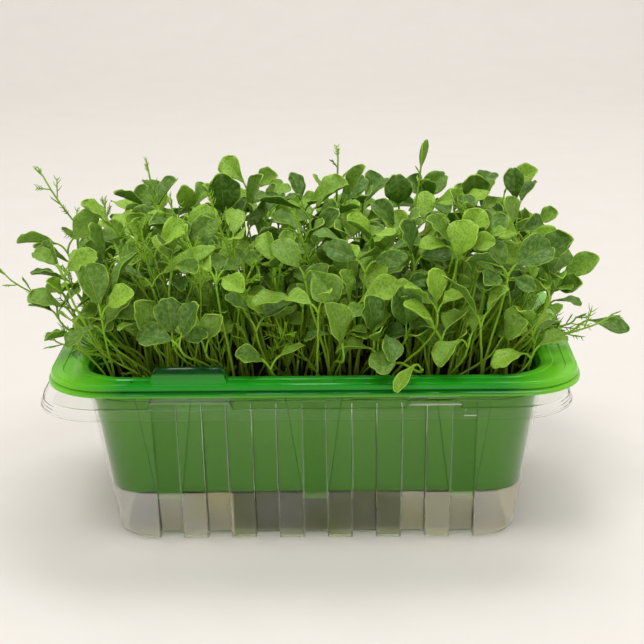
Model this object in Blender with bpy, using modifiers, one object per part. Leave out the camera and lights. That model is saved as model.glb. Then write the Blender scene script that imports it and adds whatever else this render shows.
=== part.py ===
"""Kale microgreens in a green tray that stands in a clear outer tray.

Blender 4.5, metres, +Z up.  X is the long side, the front long side faces -Y.
The origin is the middle of the clear tray's foot, on the ground.
The sizes below are in millimetres and are scaled to metres when a mesh is made.
"""
import math
import random

import bpy
from mathutils import Vector
from mathutils.bvhtree import BVHTree

MM = 0.001
NAME = "kale_microgreens_tray"
SEED = 41

# Clear outer tray.  Half widths and half depths are of the outer skin.
CLEAR_SHEET = 0.5
CLEAR_FLANGE_SHIFT = -3.0
CLEAR_LIP = (95.6, 62.3, 22.5, 56.0)
CLEAR_CREASE = (94.5, 61.0, 21.5, 60.0)
CLEAR_LEDGE = (83.0, 51.8, 18.4, 60.0)
CLEAR_FOOT = (74.0, 41.4, 15.0)
CLEAR_CORNER_GROWS = 0.05
CLEAR_SLOPE_X = 0.142
CLEAR_SLOPE_Y = 0.162
CLEAR_EDGE = 5.0
FLUTE_PITCH = 17.8
FLUTE_HALF = 3.9
FLUTE_SIDE = 0.5
FLUTE_COUNT = 7
FLUTE_SHALLOW = 0.3
FLUTE_DEEP = 4.6
FLUTE_KINK_Z = 17.4
CLEAR_BOSS = ((-56.6, -29.1), (-60.6, -54.0), 62.8)
CLEAR_CATCH = ((33.7, 51.3), (-60.6, -57.6), 61.6)

# Green inner tray.
GREEN_SHEET = 0.6
GREEN_LIP = (95.0, 61.7, 22.3, 64.5)
GREEN_CREASE = (93.3, 60.2, 21.0, 68.7)
GREEN_LEDGE = (83.2, 51.6, 17.2, 68.7)
GREEN_FOOT = (75.4, 42.9, 15.0)
GREEN_CORNER_GROWS = 0.04
GREEN_FLOOR_Z = 20.0
GREEN_SLOPE_X = 0.145
GREEN_SLOPE_Y = 0.166
RIB_X = (-53.4, 0.0, 53.4)
RIB_HALF_FOOT = 4.5
RIB_WIDEN = 0.13
RIB_PROUD = 0.35
RIB_FOOT_Z = 17.7
RIB_FOOT_REACH = 5.5
GREEN_BOSS = ((-55.3, -31.3), (-59.6, -52.6), 72.8)

# Soil.
SOIL_GAP = 0.35
SOIL_Z = 55.0
PLUG_SIDES = 5
PLUG_RADIUS = 1.9
PLUG_DEPTH = 9.0
PLUG_GAP = 0.35
PLUG_PROUD = 0.7

# Seedlings.
PLUG_COLUMNS = 8
PLUG_ROWS = 6
PLUG_AREA = (71.0, 38.0)
PLUG_JITTER = 2.6
STEM_HALF = 0.52
STEM_STEPS = 4
BLADE_THICK = 0.7
GAP = 0.35

# Leaves placed by hand after the photograph, in millimetres:
# where the blade starts, where it ends, how wide it is, and how far it is rolled from facing up and forward.
PLACED_LEAVES = (
    ((101, -19, 77), (115, -23, 73), 8, 25), ((96, -24, 80), (98, -27, 91), 9, 10),
    ((36, -58, 75), (31, -66, 68), 7, 20), ((25, -53, 83), (25, -59, 74), 12, 10),
    ((51, -53, 82), (43, -59, 75), 10, 20), ((67, -44, 80), (75, -49, 87), 9, 30),
    ((-58, 21, 112), (-52, 18, 126), 8, 45), ((38, -50, 97), (29, -53, 102), 8, 35),
    ((-36, -53, 83), (-31, -55, 92), 9, 20), ((-34, 8, 112), (-35, 4, 129), 13, 0),
    ((-37, 15, 107), (-43, 15, 122), 8, 35), ((-25, 11, 112), (-21, 8, 127), 14, 0),
    ((-23, 20, 121), (-14, 16, 125), 8, 30), ((-48, 11, 113), (-49, 6, 124), 8, 30),
    ((-63, 1, 117), (-74, -3, 123), 8, 45), ((-75, -4, 111), (-86, -8, 120), 10, 15),
    ((-96, -6, 105), (-110, -10, 106), 9, 50), ((-94, 2, 96), (-106, -2, 102), 8, 40),
    ((-92, -13, 93), (-104, -17, 97), 8, 35), ((-92, -23, 86), (-104, -27, 89), 12, 10),
    ((-87, -31, 78), (-97, -35, 77), 8, 40), ((-77, -47, 86), (-85, -54, 80), 9, 20),
    ((-77, -34, 91), (-79, -37, 104), 12, 0), ((-77, -14, 101), (-82, -16, 115), 9, 30),
    ((-57, -45, 82), (-62, -47, 95), 12, 5), ((-49, -51, 85), (-50, -52, 98), 11, 0),
    ((-45, -56, 86), (-39, -59, 98), 9, 15), ((-22, -46, 88), (-30, -49, 97), 10, 20),
    ((-7, -39, 93), (-21, -47, 94), 10, 15), ((0, -45, 105), (8, -53, 96), 12, 15),
    ((10, -56, 82), (5, -61, 98), 13, 0), ((13, -46, 91), (10, -47, 102), 9, 35),
    ((21, -49, 84), (19, -52, 98), 11, 15), ((30, -44, 83), (29, -47, 98), 12, 0),
    ((46, -54, 82), (37, -60, 95), 14, 0), ((43, -45, 93), (41, -48, 106), 10, 15),
    ((57, -49, 90), (46, -54, 107), 8, 50), ((42, -57, 100), (49, -63, 91), 8, 45),
    ((51, -37, 106), (56, -39, 120), 13, 0), ((65, -44, 106), (53, -48, 109), 8, 60),
    ((81, -26, 102), (93, -29, 111), 12, 10), ((93, -4, 90), (106, -7, 98), 9, 30),
    ((76, 21, 121), (85, 17, 126), 8, 35), ((77, 10, 115), (77, 6, 126), 12, 0),
    ((74, 0, 108), (71, -4, 120), 12, 5), ((62, 24, 113), (61, 20, 124), 12, 0),
    ((53, 10, 112), (51, 7, 121), 9, 10), ((58, -2, 112), (59, -5, 122), 10, 10),
    ((32, 14, 114), (31, 10, 126), 11, 0), ((12, 14, 118), (17, 11, 131), 8, 30),
    ((6, 20, 112), (0, 16, 125), 8, 30), ((22, -20, 107), (12, -25, 118), 11, 15),
    ((2, -14, 110), (10, -18, 119), 9, 15), ((35, -34, 108), (30, -38, 120), 12, 0),
    ((22, -46, 108), (34, -50, 109), 8, 60), ((-54, -38, 102), (-36, -36, 111), 9, 45),
    ((-59, -36, 111), (-68, -43, 99), 9, 35), ((-49, -22, 111), (-58, -26, 118), 10, 30),
    ((-38, -6, 97), (-40, -9, 110), 10, 10), ((-16, -2, 96), (-17, -5, 110), 12, 0),
    ((-5, -4, 117), (-20, -8, 121), 9, 40),
)

# Feathery seedlings: where each tip is, and how long its leafy part is.
FEATHERY = (((-101, 4, 128), 34), ((-116, -6, 93), 26), ((41, 14, 137), 30),
            ((108, -26, 82), 24), ((9, 34, 128), 26), ((-65, 30, 124), 24))
FEATHER_PAIRS = 4
FEATHER_LEAFLET = 7.5
FEATHER_RADIUS = 0.5

# How high a stem climbs before it leans, more so where a low one passes over the rim.
RIM_INSIDE = (83.0, 51.0)
STEM_CLIMB = 0.42
OVER_RIM_CLIMB = 1.35
OVER_RIM_RISE = 30.0
NUDGES = 4
FILL_SEEDLINGS = 34
LEAF_LENGTH = (11.0, 15.5)
LEAF_BROAD = (0.62, 0.82)
STALK_LENGTH = (3.5, 6.0)
REACH = (112.0, 72.0)
REACH_Z = (66.0, 131.0)
TRIES = 24


# Plain helpers.
def wipe():
    """Remove whatever the open file holds."""
    for item in list(bpy.data.objects):
        bpy.data.objects.remove(item, do_unlink=True)


def collection(name):
    group = bpy.data.collections.new(name)
    bpy.context.scene.collection.children.link(group)
    return group


def material(name, colour, roughness, metallic=0.0, alpha=1.0):
    mat = bpy.data.materials.new(name)
    mat.use_nodes = True
    shader = mat.node_tree.nodes["Principled BSDF"]
    shader.inputs["Base Color"].default_value = (*colour, 1.0)
    shader.inputs["Roughness"].default_value = roughness
    shader.inputs["Metallic"].default_value = metallic
    shader.inputs["Alpha"].default_value = alpha
    return mat


def mesh_object(name, points, faces, group, mat=None):
    """Make an object from points in millimetres."""
    mesh = bpy.data.meshes.new(name)
    mesh.from_pydata([Vector(p) * MM for p in points], [], faces)
    mesh.update()
    thing = bpy.data.objects.new(name, mesh)
    group.objects.link(thing)
    if mat:
        mesh.materials.append(mat)
    return thing


def apply_modifiers(thing):
    """Replace the object's mesh by what its modifiers make of it."""
    graph = bpy.context.evaluated_depsgraph_get()
    mesh = bpy.data.meshes.new_from_object(thing.evaluated_get(graph))
    thing.modifiers.clear()
    old = thing.data
    thing.data = mesh
    bpy.data.meshes.remove(old)


def thicken(thing, sheet):
    """Give an open formed skin its sheet thickness, inwards from the modelled face."""
    solid = thing.modifiers.new("sheet", "SOLIDIFY")
    solid.thickness = sheet * MM
    solid.offset = -1.0
    solid.use_even_offset = True
    apply_modifiers(thing)


def combine(thing, others, operation, solver="EXACT"):
    """Join the other objects to this one, or cut them from it, and remove them."""
    group = collection("operands")
    for other in others:
        group.objects.link(other)
    cut = thing.modifiers.new("combine", "BOOLEAN")
    cut.operand_type = "COLLECTION"
    cut.collection = group
    cut.operation = operation
    cut.solver = solver
    apply_modifiers(thing)
    for other in others:
        bpy.data.objects.remove(other, do_unlink=True)
    bpy.data.collections.remove(group)


# Formed trays.
def outline(half_x, half_y, radius, long_side, shift=0.0, corner_steps=3):
    """Points round a rounded rectangle, anticlockwise from the front right corner's start.

    long_side lists the points along the front as (x, how far in); the back mirrors them.
    """
    ring = []
    corners = ((1, -1, -90), (1, 1, 0), (-1, 1, 90), (-1, -1, 180))
    for index, (side_x, side_y, start) in enumerate(corners):
        for step in range(corner_steps + 1):
            turn = math.radians(start + 90.0 * step / corner_steps)
            x = side_x * (half_x - radius) + radius * math.cos(turn) + shift
            y = side_y * (half_y - radius) + radius * math.sin(turn)
            ring.append((x, y))
        if index == 1:
            ring += [(x, half_y - inward) for x, inward in reversed(long_side)]
        if index == 3:
            ring += [(x, inward - half_y) for x, inward in long_side]
    return ring


def loft(rings):
    """Quads between rings of equal length, and the last ring closed by one face."""
    count = len(rings[0])
    points = [p for ring in rings for p in ring]
    faces = []
    for level in range(len(rings) - 1):
        for i in range(count):
            j = (i + 1) % count
            low, high = level * count, (level + 1) * count
            faces.append((low + i, high + i, high + j, low + j))
    last = (len(rings) - 1) * count
    faces.append(tuple(range(last + count - 1, last - 1, -1)))
    return points, faces


def flute_line(depth):
    """Points along a long side of the clear tray: each flute's four edges, at its depth."""
    line = []
    for number in range(FLUTE_COUNT):
        centre = (number - FLUTE_COUNT // 2) * FLUTE_PITCH
        outer = FLUTE_HALF + FLUTE_SIDE
        line += [(centre - outer, 0.0), (centre - FLUTE_HALF, depth),
                 (centre + FLUTE_HALF, depth), (centre + outer, 0.0)]
    return line


def clear_level(z, depth, inset=0.0):
    """One level of the clear tray's wall."""
    half_x = CLEAR_FOOT[0] + CLEAR_SLOPE_X * z - inset
    half_y = CLEAR_FOOT[1] + CLEAR_SLOPE_Y * z - inset
    radius = CLEAR_FOOT[2] + CLEAR_CORNER_GROWS * z - inset
    ring = outline(half_x, half_y, radius, flute_line(depth))
    return [(x, y, z) for x, y in ring]


def flange_level(size, line, sheet, skirt=False, shift=0.0):
    """One level of a tray's flange.  Its sizes are of the upper skin, and the ring is of the lower one."""
    half_x, half_y, radius, z = size
    inward = sheet if skirt else 0.0
    ring = outline(half_x - inward, half_y - inward, radius - inward, line, shift)
    down = 0.0 if z in (CLEAR_LIP[3], GREEN_LIP[3]) else sheet
    return [(x, y, z - down) for x, y in ring]


def make_clear_tray(group, mat):
    straight = flute_line(0.0)
    rings = [
        flange_level(CLEAR_LIP, straight, CLEAR_SHEET, True, CLEAR_FLANGE_SHIFT),
        flange_level(CLEAR_CREASE, straight, CLEAR_SHEET, True, CLEAR_FLANGE_SHIFT),
        flange_level(CLEAR_LEDGE, straight, CLEAR_SHEET),
        clear_level(CLEAR_LEDGE[3] - 1.0, FLUTE_SHALLOW),
        clear_level(FLUTE_KINK_Z, FLUTE_SHALLOW),
        clear_level(CLEAR_EDGE * 0.6, FLUTE_DEEP * 0.85, 0.6),
        clear_level(0.0, FLUTE_DEEP, CLEAR_EDGE * 0.6),
    ]
    tray = mesh_object("clear_tray", *loft(rings), group, mat)
    thicken(tray, CLEAR_SHEET)
    combine(tray, [boss("clear_boss", CLEAR_BOSS, CLEAR_LEDGE[3], group),
                   boss("clear_catch", CLEAR_CATCH, CLEAR_LEDGE[3], group)], "UNION", "MANIFOLD")
    return tray


def boss(name, place, ledge_z, group):
    """A raised latch block with sloped sides, sunk a little into the ledge."""
    (x0, x1), (y0, y1), top = place
    draft = 0.8
    low = ledge_z - 0.25
    rings = []
    for z, grow in ((top, 0.0), (top - 0.8, draft * 0.6), (low, draft)):
        rings.append([(x0 - grow, y0 - grow * 0.4, z), (x1 + grow, y0 - grow * 0.4, z),
                      (x1 + grow, y1 + grow, z), (x0 - grow, y1 + grow, z)])
    points, faces = loft(rings)
    faces.append((0, 1, 2, 3))
    return mesh_object(name, points, faces, group)


def rib_line(z, proud):
    """Points along a long side of the green tray: each rib's two edges."""
    line = []
    half = RIB_HALF_FOOT + RIB_WIDEN * (z - GREEN_FLOOR_Z)
    for centre in RIB_X:
        line += [(centre - half - 0.7, 0.0), (centre - half, -proud),
                 (centre + half, -proud), (centre + half + 0.7, 0.0)]
    return line


def green_level(z, inset=0.0, proud=RIB_PROUD, wall_z=None, foot_z=None):
    """One level of the green tray; the ribs' points may stand lower than the rest."""
    wall_z = z if wall_z is None else wall_z
    half_x = GREEN_FOOT[0] + GREEN_SLOPE_X * (wall_z - GREEN_FLOOR_Z) - inset
    half_y = GREEN_FOOT[1] + GREEN_SLOPE_Y * (wall_z - GREEN_FLOOR_Z) - inset
    line = rib_line(max(wall_z, GREEN_FLOOR_Z), proud)
    radius = GREEN_FOOT[2] + GREEN_CORNER_GROWS * (wall_z - GREEN_FLOOR_Z) - inset
    ring = outline(half_x, half_y, radius, line)
    faces_of_ribs = {round(x, 4) for index, (x, _) in enumerate(line) if index % 4 in (1, 2)}
    level = []
    for x, y in ring:
        low = foot_z is not None and round(x, 4) in faces_of_ribs
        level.append((x, y, foot_z if low else z))
    return level


def make_green_tray(group, mat):
    floor = GREEN_FLOOR_Z
    reach = RIB_FOOT_REACH
    straight = rib_line(GREEN_LEDGE[3], 0.0)
    rings = [
        flange_level(GREEN_LIP, straight, GREEN_SHEET, True),
        flange_level(GREEN_CREASE, straight, GREEN_SHEET, True),
        flange_level(GREEN_LEDGE, straight, GREEN_SHEET),
        green_level(GREEN_LEDGE[3] - 1.0, proud=0.0),
        green_level(floor + 4.0, 0.0),
        green_level(floor + 1.2, 1.0, RIB_PROUD + 0.7),
        green_level(floor, 2.8, RIB_PROUD + 2.2, floor, RIB_FOOT_Z),
        green_level(floor, reach, 0.0, floor, RIB_FOOT_Z),
        green_level(floor, reach + 0.9, 0.0, floor),
    ]
    tray = mesh_object("green_tray", *loft(rings), group, mat)
    thicken(tray, GREEN_SHEET)
    combine(tray, [boss("green_boss", GREEN_BOSS, GREEN_LEDGE[3], group)], "UNION", "MANIFOLD")
    return tray


# Soil.
def soil_level(z, inset):
    wall = z - GREEN_FLOOR_Z
    back = GREEN_SHEET * 1.02 + SOIL_GAP + inset
    half_x = GREEN_FOOT[0] + GREEN_SLOPE_X * wall - back
    half_y = GREEN_FOOT[1] + GREEN_SLOPE_Y * wall - back
    radius = GREEN_FOOT[2] + GREEN_CORNER_GROWS * wall - back
    return [(x, y, z) for x, y in outline(half_x, half_y, radius, [])]


def make_soil(group, mat):
    rings = [soil_level(SOIL_Z, 0.0), soil_level(GREEN_FLOOR_Z + 5.0, 0.0),
             soil_level(GREEN_FLOOR_Z + GREEN_SHEET + SOIL_GAP, 4.0)]
    points, faces = loft(rings)
    count = len(rings[0])
    faces.append(tuple(range(count)))
    return mesh_object("soil", points, faces, group, mat)


def prism(name, place, radius, low, high, turn, group):
    """A five-sided upright prism."""
    points = []
    for z in (low, high):
        for step in range(PLUG_SIDES):
            angle = turn + math.tau * step / PLUG_SIDES
            points.append((place[0] + radius * math.cos(angle), place[1] + radius * math.sin(angle), z))
    faces = [tuple(range(PLUG_SIDES - 1, -1, -1)), tuple(range(PLUG_SIDES, 2 * PLUG_SIDES))]
    for i in range(PLUG_SIDES):
        j = (i + 1) % PLUG_SIDES
        faces.append((i, j, j + PLUG_SIDES, i + PLUG_SIDES))
    return mesh_object(name, points, faces, group)


# Shapes of stems and leaves.
def across(direction):
    """Two unit vectors square to a direction."""
    helper = Vector((0, 0, 1)) if abs(direction.z) < 0.9 else Vector((1, 0, 0))
    first = direction.cross(helper).normalized()
    return first, direction.cross(first).normalized()


def stem_path(root, apex, arrive, steps):
    """A curve that leaves the soil upright and reaches the apex from below."""
    start = Vector((root[0], root[1], SOIL_Z - 1.5))
    rise = apex.z - SOIL_Z
    climb = STEM_CLIMB
    if max(abs(apex.x) - RIM_INSIDE[0], abs(apex.y) - RIM_INSIDE[1]) > 0:
        climb += OVER_RIM_CLIMB * min(max((OVER_RIM_RISE - rise) / 15.0, 0.0), 1.0)
    first = start + Vector((0, 0, climb * rise))
    second = apex - arrive * 0.38 * rise
    path = []
    for step in range(steps + 1):
        t = step / steps
        u = 1 - t
        path.append(u * u * u * start + 3 * u * u * t * first + 3 * u * t * t * second + t * t * t * apex)
    return path


def tube(path, radii, sides):
    """A closed tube along a path; its last ring is as wide as its radius says."""
    points = []
    faces = []
    count = len(path)
    for index, centre in enumerate(path):
        before = path[max(index - 1, 0)]
        after = path[min(index + 1, count - 1)]
        side, other = across((after - before).normalized())
        for step in range(sides):
            angle = math.tau * step / sides
            points.append(centre + radii[index] * (math.cos(angle) * side + math.sin(angle) * other))
    for index in range(count - 1):
        for step in range(sides):
            low, high = index * sides, (index + 1) * sides
            after = (step + 1) % sides
            faces.append((low + step, low + after, high + after, high + step))
    faces.append(tuple(range(sides - 1, -1, -1)))
    faces.append(tuple(range((count - 1) * sides, count * sides)))
    return points, faces


def stem_mesh(stem, grow=0.0):
    """The stem alone, to test whether it is clear; it starts above the plug when it is grown."""
    path = stem_path(stem["root"], stem["apex"], stem["arrive"], STEM_STEPS)
    if grow:
        path = path[1:]
    radius = STEM_HALF * 1.41 + grow
    return tube(path, [radius] * len(path), 4)


# A blade's points: 0 and 7 its neck, 1 to 6 its edge with the tip at 3 and 4, 8 and 9 its middle.
BLADE_FACES = ((8, 0, 7), (0, 8, 1), (7, 6, 8), (1, 8, 9), (6, 9, 8), (1, 9, 2), (6, 5, 9), (2, 9, 3), (5, 4, 9),
               (3, 9, 4))


def blade_points(leaf, grow=0.0):
    """The blade's middle surface and its normals, from the neck to the notched tip."""
    neck = leaf["neck"]
    axis = leaf["tip"] - neck
    length = axis.length
    axis.normalize()
    side = leaf["side"]
    normal = axis.cross(side).normalized()
    half = 0.5 * leaf["wide"] + grow
    cup = leaf["cup"] * leaf["wide"]
    arch = 4 * leaf["arch"] * length
    end = grow / length
    edge = ((0.0, 0.62 + grow, 0.0), (0.5, half, cup), (0.86, 0.74 * half, 0.8 * cup),
            (1.0 + end, 0.28 * half, 0.3 * cup))
    notch = 0.93 + end
    spots = list(edge)
    spots += [(t, -s, lift) for t, s, lift in reversed(edge)]
    spots += [(0.42, 0.0, 0.0), (notch - 0.14, 0.0, 0.05 * cup)]
    points = [neck + axis * (t * length) + side * s + normal * (lift + arch * t * (1 - t))
              for t, s, lift in spots]
    return points, normal


def leaf_faces(lower, upper, ring):
    """Faces of a blade with its stalk; lower and upper are the blade's first indices.

    ring holds the four points that the stalk starts from: lower left, lower right, upper right, upper left.
    """
    faces = [tuple(upper + i for i in face) for face in BLADE_FACES]
    faces += [tuple(lower + i for i in reversed(face)) for face in BLADE_FACES]
    for i in range(7, 0, -1):
        faces += split((lower + i, lower + i - 1, upper + i - 1, upper + i))
    neck = (lower + 7, lower, upper, upper + 7)
    for i in range(4):
        j = (i + 1) % 4
        faces += split((ring[i], ring[j], neck[j], neck[i]))
    return faces


def split(face):
    """A face cut into triangles that share its first point."""
    return [(face[0], face[i], face[i + 1]) for i in range(1, len(face) - 1)]


def leaf_mesh(leaf, grow=0.0):
    """A leaf with its stalk as a closed shape of its own, to test whether it is clear."""
    points, normal = blade_points(leaf, grow)
    thick = 0.5 * BLADE_THICK + grow
    base, side = leaf["base"], leaf["side"] * (0.5 + grow)
    stalk_normal = (leaf["neck"] - base).normalized().cross(leaf["side"]).normalized() * thick
    start = [base - side - stalk_normal, base + side - stalk_normal,
             base + side + stalk_normal, base - side + stalk_normal]
    everything = start + [p - normal * thick for p in points] + [p + normal * thick for p in points]
    faces = leaf_faces(4, 4 + len(points), (0, 1, 2, 3))
    faces += split((3, 2, 1, 0))
    return everything, faces


def seedling_mesh(seedling):
    """A stem that runs into one leaf, or forks into two, as one closed skin."""
    stem, leaves = seedling["stem"], seedling["parts"]
    path = stem_path(stem["root"], stem["apex"], stem["arrive"], STEM_STEPS)
    away = leaves[0]["neck"] - stem["apex"] + 0.3 * (leaves[0]["tip"] - leaves[0]["neck"])
    away.z = 0.0
    away.normalize()
    points = []
    faces = []
    for index, centre in enumerate(path):
        along = (path[min(index + 1, STEM_STEPS)] - path[max(index - 1, 0)]).normalized()
        out = (away - along * away.dot(along)).normalized() * STEM_HALF
        left = along.cross(out)
        points += [centre + out - left, centre + out + left, centre - out + left, centre - out - left]
    faces += split((3, 2, 1, 0))
    top = 4 * STEM_STEPS
    crotch = top + 4
    paired = len(leaves) > 1
    for level in range(STEM_STEPS):
        for i in range(4):
            j = (i + 1) % 4
            low, high = 4 * level, 4 * level + 4
            face = (low + i, low + j, high + j, high + i)
            if paired and high == top and i == 1:
                face = (low + i, low + j, high + j, crotch + 1, high + i)
            if paired and high == top and i == 3:
                face = (low + i, low + j, high + j, crotch, high + i)
            faces += split(face)
    rings = [(top, top + 1, top + 2, top + 3)]
    if paired:
        points += [path[-1] - left + along * 0.35, path[-1] + left + along * 0.35]
        rings = [(top, top + 1, crotch + 1, crotch), (top + 2, top + 3, crotch, crotch + 1)]
    for leaf, ring in zip(leaves, rings):
        blade, normal = blade_points(leaf)
        lower = len(points)
        thick = 0.5 * BLADE_THICK * normal
        points += [p - thick for p in blade] + [p + thick for p in blade]
        faces += leaf_faces(lower, lower + len(blade), ring)
    return points, faces


def crosses_itself(mesh):
    """True if faces of the mesh that share no point meet."""
    points, faces = mesh
    tree = BVHTree.FromPolygons([tuple(p) for p in points], faces)
    for one, other in tree.overlap(tree):
        if one < other and not set(faces[one]) & set(faces[other]):
            return True
    return False


def needle_mesh(needle, grow=0.0):
    start, end = needle["start"], needle["end"]
    if grow:
        start = start + (end - start) * 0.15
    return tube([start, end], [FEATHER_RADIUS + grow, 0.5 * FEATHER_RADIUS + grow], 3)


# Planting rule.
def plug_places(rng):
    """Root plugs on a shaken grid, every other row shifted by half a step."""
    places = []
    step_x = 2 * PLUG_AREA[0] / (PLUG_COLUMNS - 0.5)
    step_y = 2 * PLUG_AREA[1] / (PLUG_ROWS - 1)
    for row in range(PLUG_ROWS):
        for column in range(PLUG_COLUMNS):
            x = -PLUG_AREA[0] + step_x * (column + 0.5 * (row % 2))
            y = -PLUG_AREA[1] + step_y * row
            places.append((x + rng.uniform(-PLUG_JITTER, PLUG_JITTER),
                           y + rng.uniform(-PLUG_JITTER, PLUG_JITTER)))
    return places


class Crowd:
    """Everything placed so far, so that a new piece can be kept clear of it."""

    def __init__(self):
        self.placed = []

    def add(self, owner, mesh):
        points, faces = mesh
        low = [min(p[k] for p in points) for k in range(3)]
        high = [max(p[k] for p in points) for k in range(3)]
        self.placed.append((owner, low, high, BVHTree.FromPolygons([tuple(p) for p in points], faces)))

    def clear(self, owners, mesh):
        """True if the mesh touches nothing that belongs to anyone but these owners."""
        points, faces = mesh
        low = [min(p[k] for p in points) for k in range(3)]
        high = [max(p[k] for p in points) for k in range(3)]
        tree = BVHTree.FromPolygons([tuple(p) for p in points], faces)
        for owner, other_low, other_high, other in self.placed:
            if owner in owners:
                continue
            if any(low[k] > other_high[k] or high[k] < other_low[k] for k in range(3)):
                continue
            if tree.overlap(other):
                return False
        return True


def stalk_direction(axis):
    """The way a leaf's stalk runs into its blade."""
    level = Vector((axis.x, axis.y, 0.0))
    if axis.z < -0.3:
        return (0.8 * level + Vector((0, 0, 0.55))).normalized()
    return (0.75 * axis + Vector((0, 0, 0.6))).normalized()


def make_leaf(base, neck, tip, wide, roll, rng):
    """Fill in a leaf's frame: its side vector square to its axis, rolled by some degrees."""
    axis = (tip - neck).normalized()
    facing = Vector((0.0, -0.45, 0.9))
    facing = facing - axis * facing.dot(axis)
    if facing.length < 0.2:
        facing = Vector((0.0, -1.0, 0.0))
    facing.normalize()
    side = facing.cross(axis).normalized()
    turn = math.radians(roll)
    side = (side * math.cos(turn) + facing * math.sin(turn)).normalized()
    return {"kind": "leaf", "base": base, "neck": neck, "tip": tip, "wide": wide, "side": side,
            "cup": rng.uniform(0.06, 0.16), "arch": rng.uniform(0.02, 0.09)}


def nearest_plug(places, load, x, y, limit):
    """The nearest plug that still has room."""
    open_plugs = [n for n in range(len(places)) if load[n] < limit]
    return min(open_plugs, key=lambda n: (places[n][0] - x) ** 2 + (places[n][1] - y) ** 2)


def root_in_plug(place, load):
    """Stems of one plug stand side by side in it."""
    angle = 2.1 * load
    return (place[0] + 0.45 * math.cos(angle), place[1] + 0.45 * math.sin(angle))


def try_stem(crowd, owner, root, apex, rng):
    """Find a bend of the stem that is clear of the others."""
    lean = Vector((apex.x - root[0], apex.y - root[1], 0.0)) * max(1.0, OVER_RIM_RISE / (apex.z - SOIL_Z))
    for attempt in range(TRIES):
        spread = 0.004 * attempt
        arrive = Vector((lean.x * 0.012 + rng.uniform(-spread, spread) * 6,
                         lean.y * 0.012 + rng.uniform(-spread, spread) * 6, 1.0)).normalized()
        stem = {"kind": "stem", "root": root, "apex": apex, "arrive": arrive}
        if crowd.clear((owner,), stem_mesh(stem, GAP)):
            return stem
    return None


def second_leaf(crowd, seedling, first, rng):
    """The partner of a leaf, on the other side of the stem."""
    stem = seedling["stem"]
    axis = (first["tip"] - first["neck"]).normalized()
    heading = math.atan2(axis.y, axis.x) + math.pi
    for attempt in range(TRIES):
        turn = heading + rng.uniform(-0.3, 0.3) * (1 + 0.3 * attempt)
        climb = rng.uniform(0.0, 0.9)
        out = Vector((math.cos(turn) * math.cos(climb), math.sin(turn) * math.cos(climb), math.sin(climb)))
        length = rng.uniform(*LEAF_LENGTH) * (1.0 if attempt < 12 else 0.85)
        leaf = grown_leaf(stem["apex"], out, length, length * rng.uniform(*LEAF_BROAD), rng)
        if inside_reach(leaf) and crowd.clear((seedling["id"],), leaf_mesh(leaf, GAP)):
            pair = {"stem": stem, "parts": [first, leaf]}
            if not crosses_itself(seedling_mesh(pair)):
                return leaf
    return None


def grown_leaf(apex, out, length, wide, rng):
    """A leaf that grows from a stem's apex in a direction."""
    stalk = stalk_direction(out)
    neck = apex + stalk * rng.uniform(*STALK_LENGTH)
    tip = neck + out * length
    return make_leaf(apex - stalk * 0.5 - Vector((0, 0, 0.6)), neck, tip, wide, rng.uniform(-35, 35), rng)


def inside_reach(leaf):
    """Keep leaves within the spread that the photograph shows."""
    tip = leaf["tip"]
    ring = (tip.x / REACH[0]) ** 2 + (tip.y / REACH[1]) ** 2
    return ring < 1.0 and REACH_Z[0] < tip.z < REACH_Z[1]


def plan_placed(crowd, places, load, rng, plan):
    """Seedlings whose first leaf is placed by hand."""
    for neck, tip, wide, roll in PLACED_LEAVES:
        for nudge in range(NUDGES):
            shift = Vector((rng.gauss(0, 1), rng.gauss(0, 1), rng.gauss(0, 1))) * nudge
            if plant_leaf(crowd, places, load, rng, plan, Vector(neck) + shift, Vector(tip) + shift, wide, roll):
                break


def plant_leaf(crowd, places, load, rng, plan, neck, tip, wide, roll):
    """One seedling with one leaf where it is wanted, if there is room for its stem and its blade."""
    axis = (tip - neck).normalized()
    stalk = stalk_direction(axis)
    apex = neck - stalk * 5.0
    plug = nearest_plug(places, load, apex.x * 0.8, apex.y * 0.8, 3)
    root = root_in_plug(places[plug], load[plug])
    name = len(plan)
    stem = try_stem(crowd, name, root, apex, rng)
    if stem is None:
        return False
    for attempt in range(10):
        narrower = 1.0 - 0.04 * attempt
        push = Vector((rng.uniform(-1, 1), rng.uniform(-1, 1), rng.uniform(-1, 1))) * 0.45 * attempt
        leaf = make_leaf(apex - stalk * 0.5 - Vector((0, 0, 0.6)), neck + push * 0.3, tip + push,
                         wide * narrower, roll + 4 * attempt * rng.uniform(-1, 1), rng)
        seedling = {"id": name, "plug": plug, "stem": stem, "parts": [leaf]}
        if crowd.clear((name,), leaf_mesh(leaf, GAP)) and not crosses_itself(seedling_mesh(seedling)):
            keep(crowd, seedling, load)
            plan.append(seedling)
            return True
    return False


def keep(crowd, seedling, load):
    crowd.add(seedling["id"], stem_mesh(seedling["stem"]))
    for piece in seedling["parts"]:
        crowd.add(seedling["id"], piece_mesh(piece))
    load[seedling["plug"]] += 1


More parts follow.
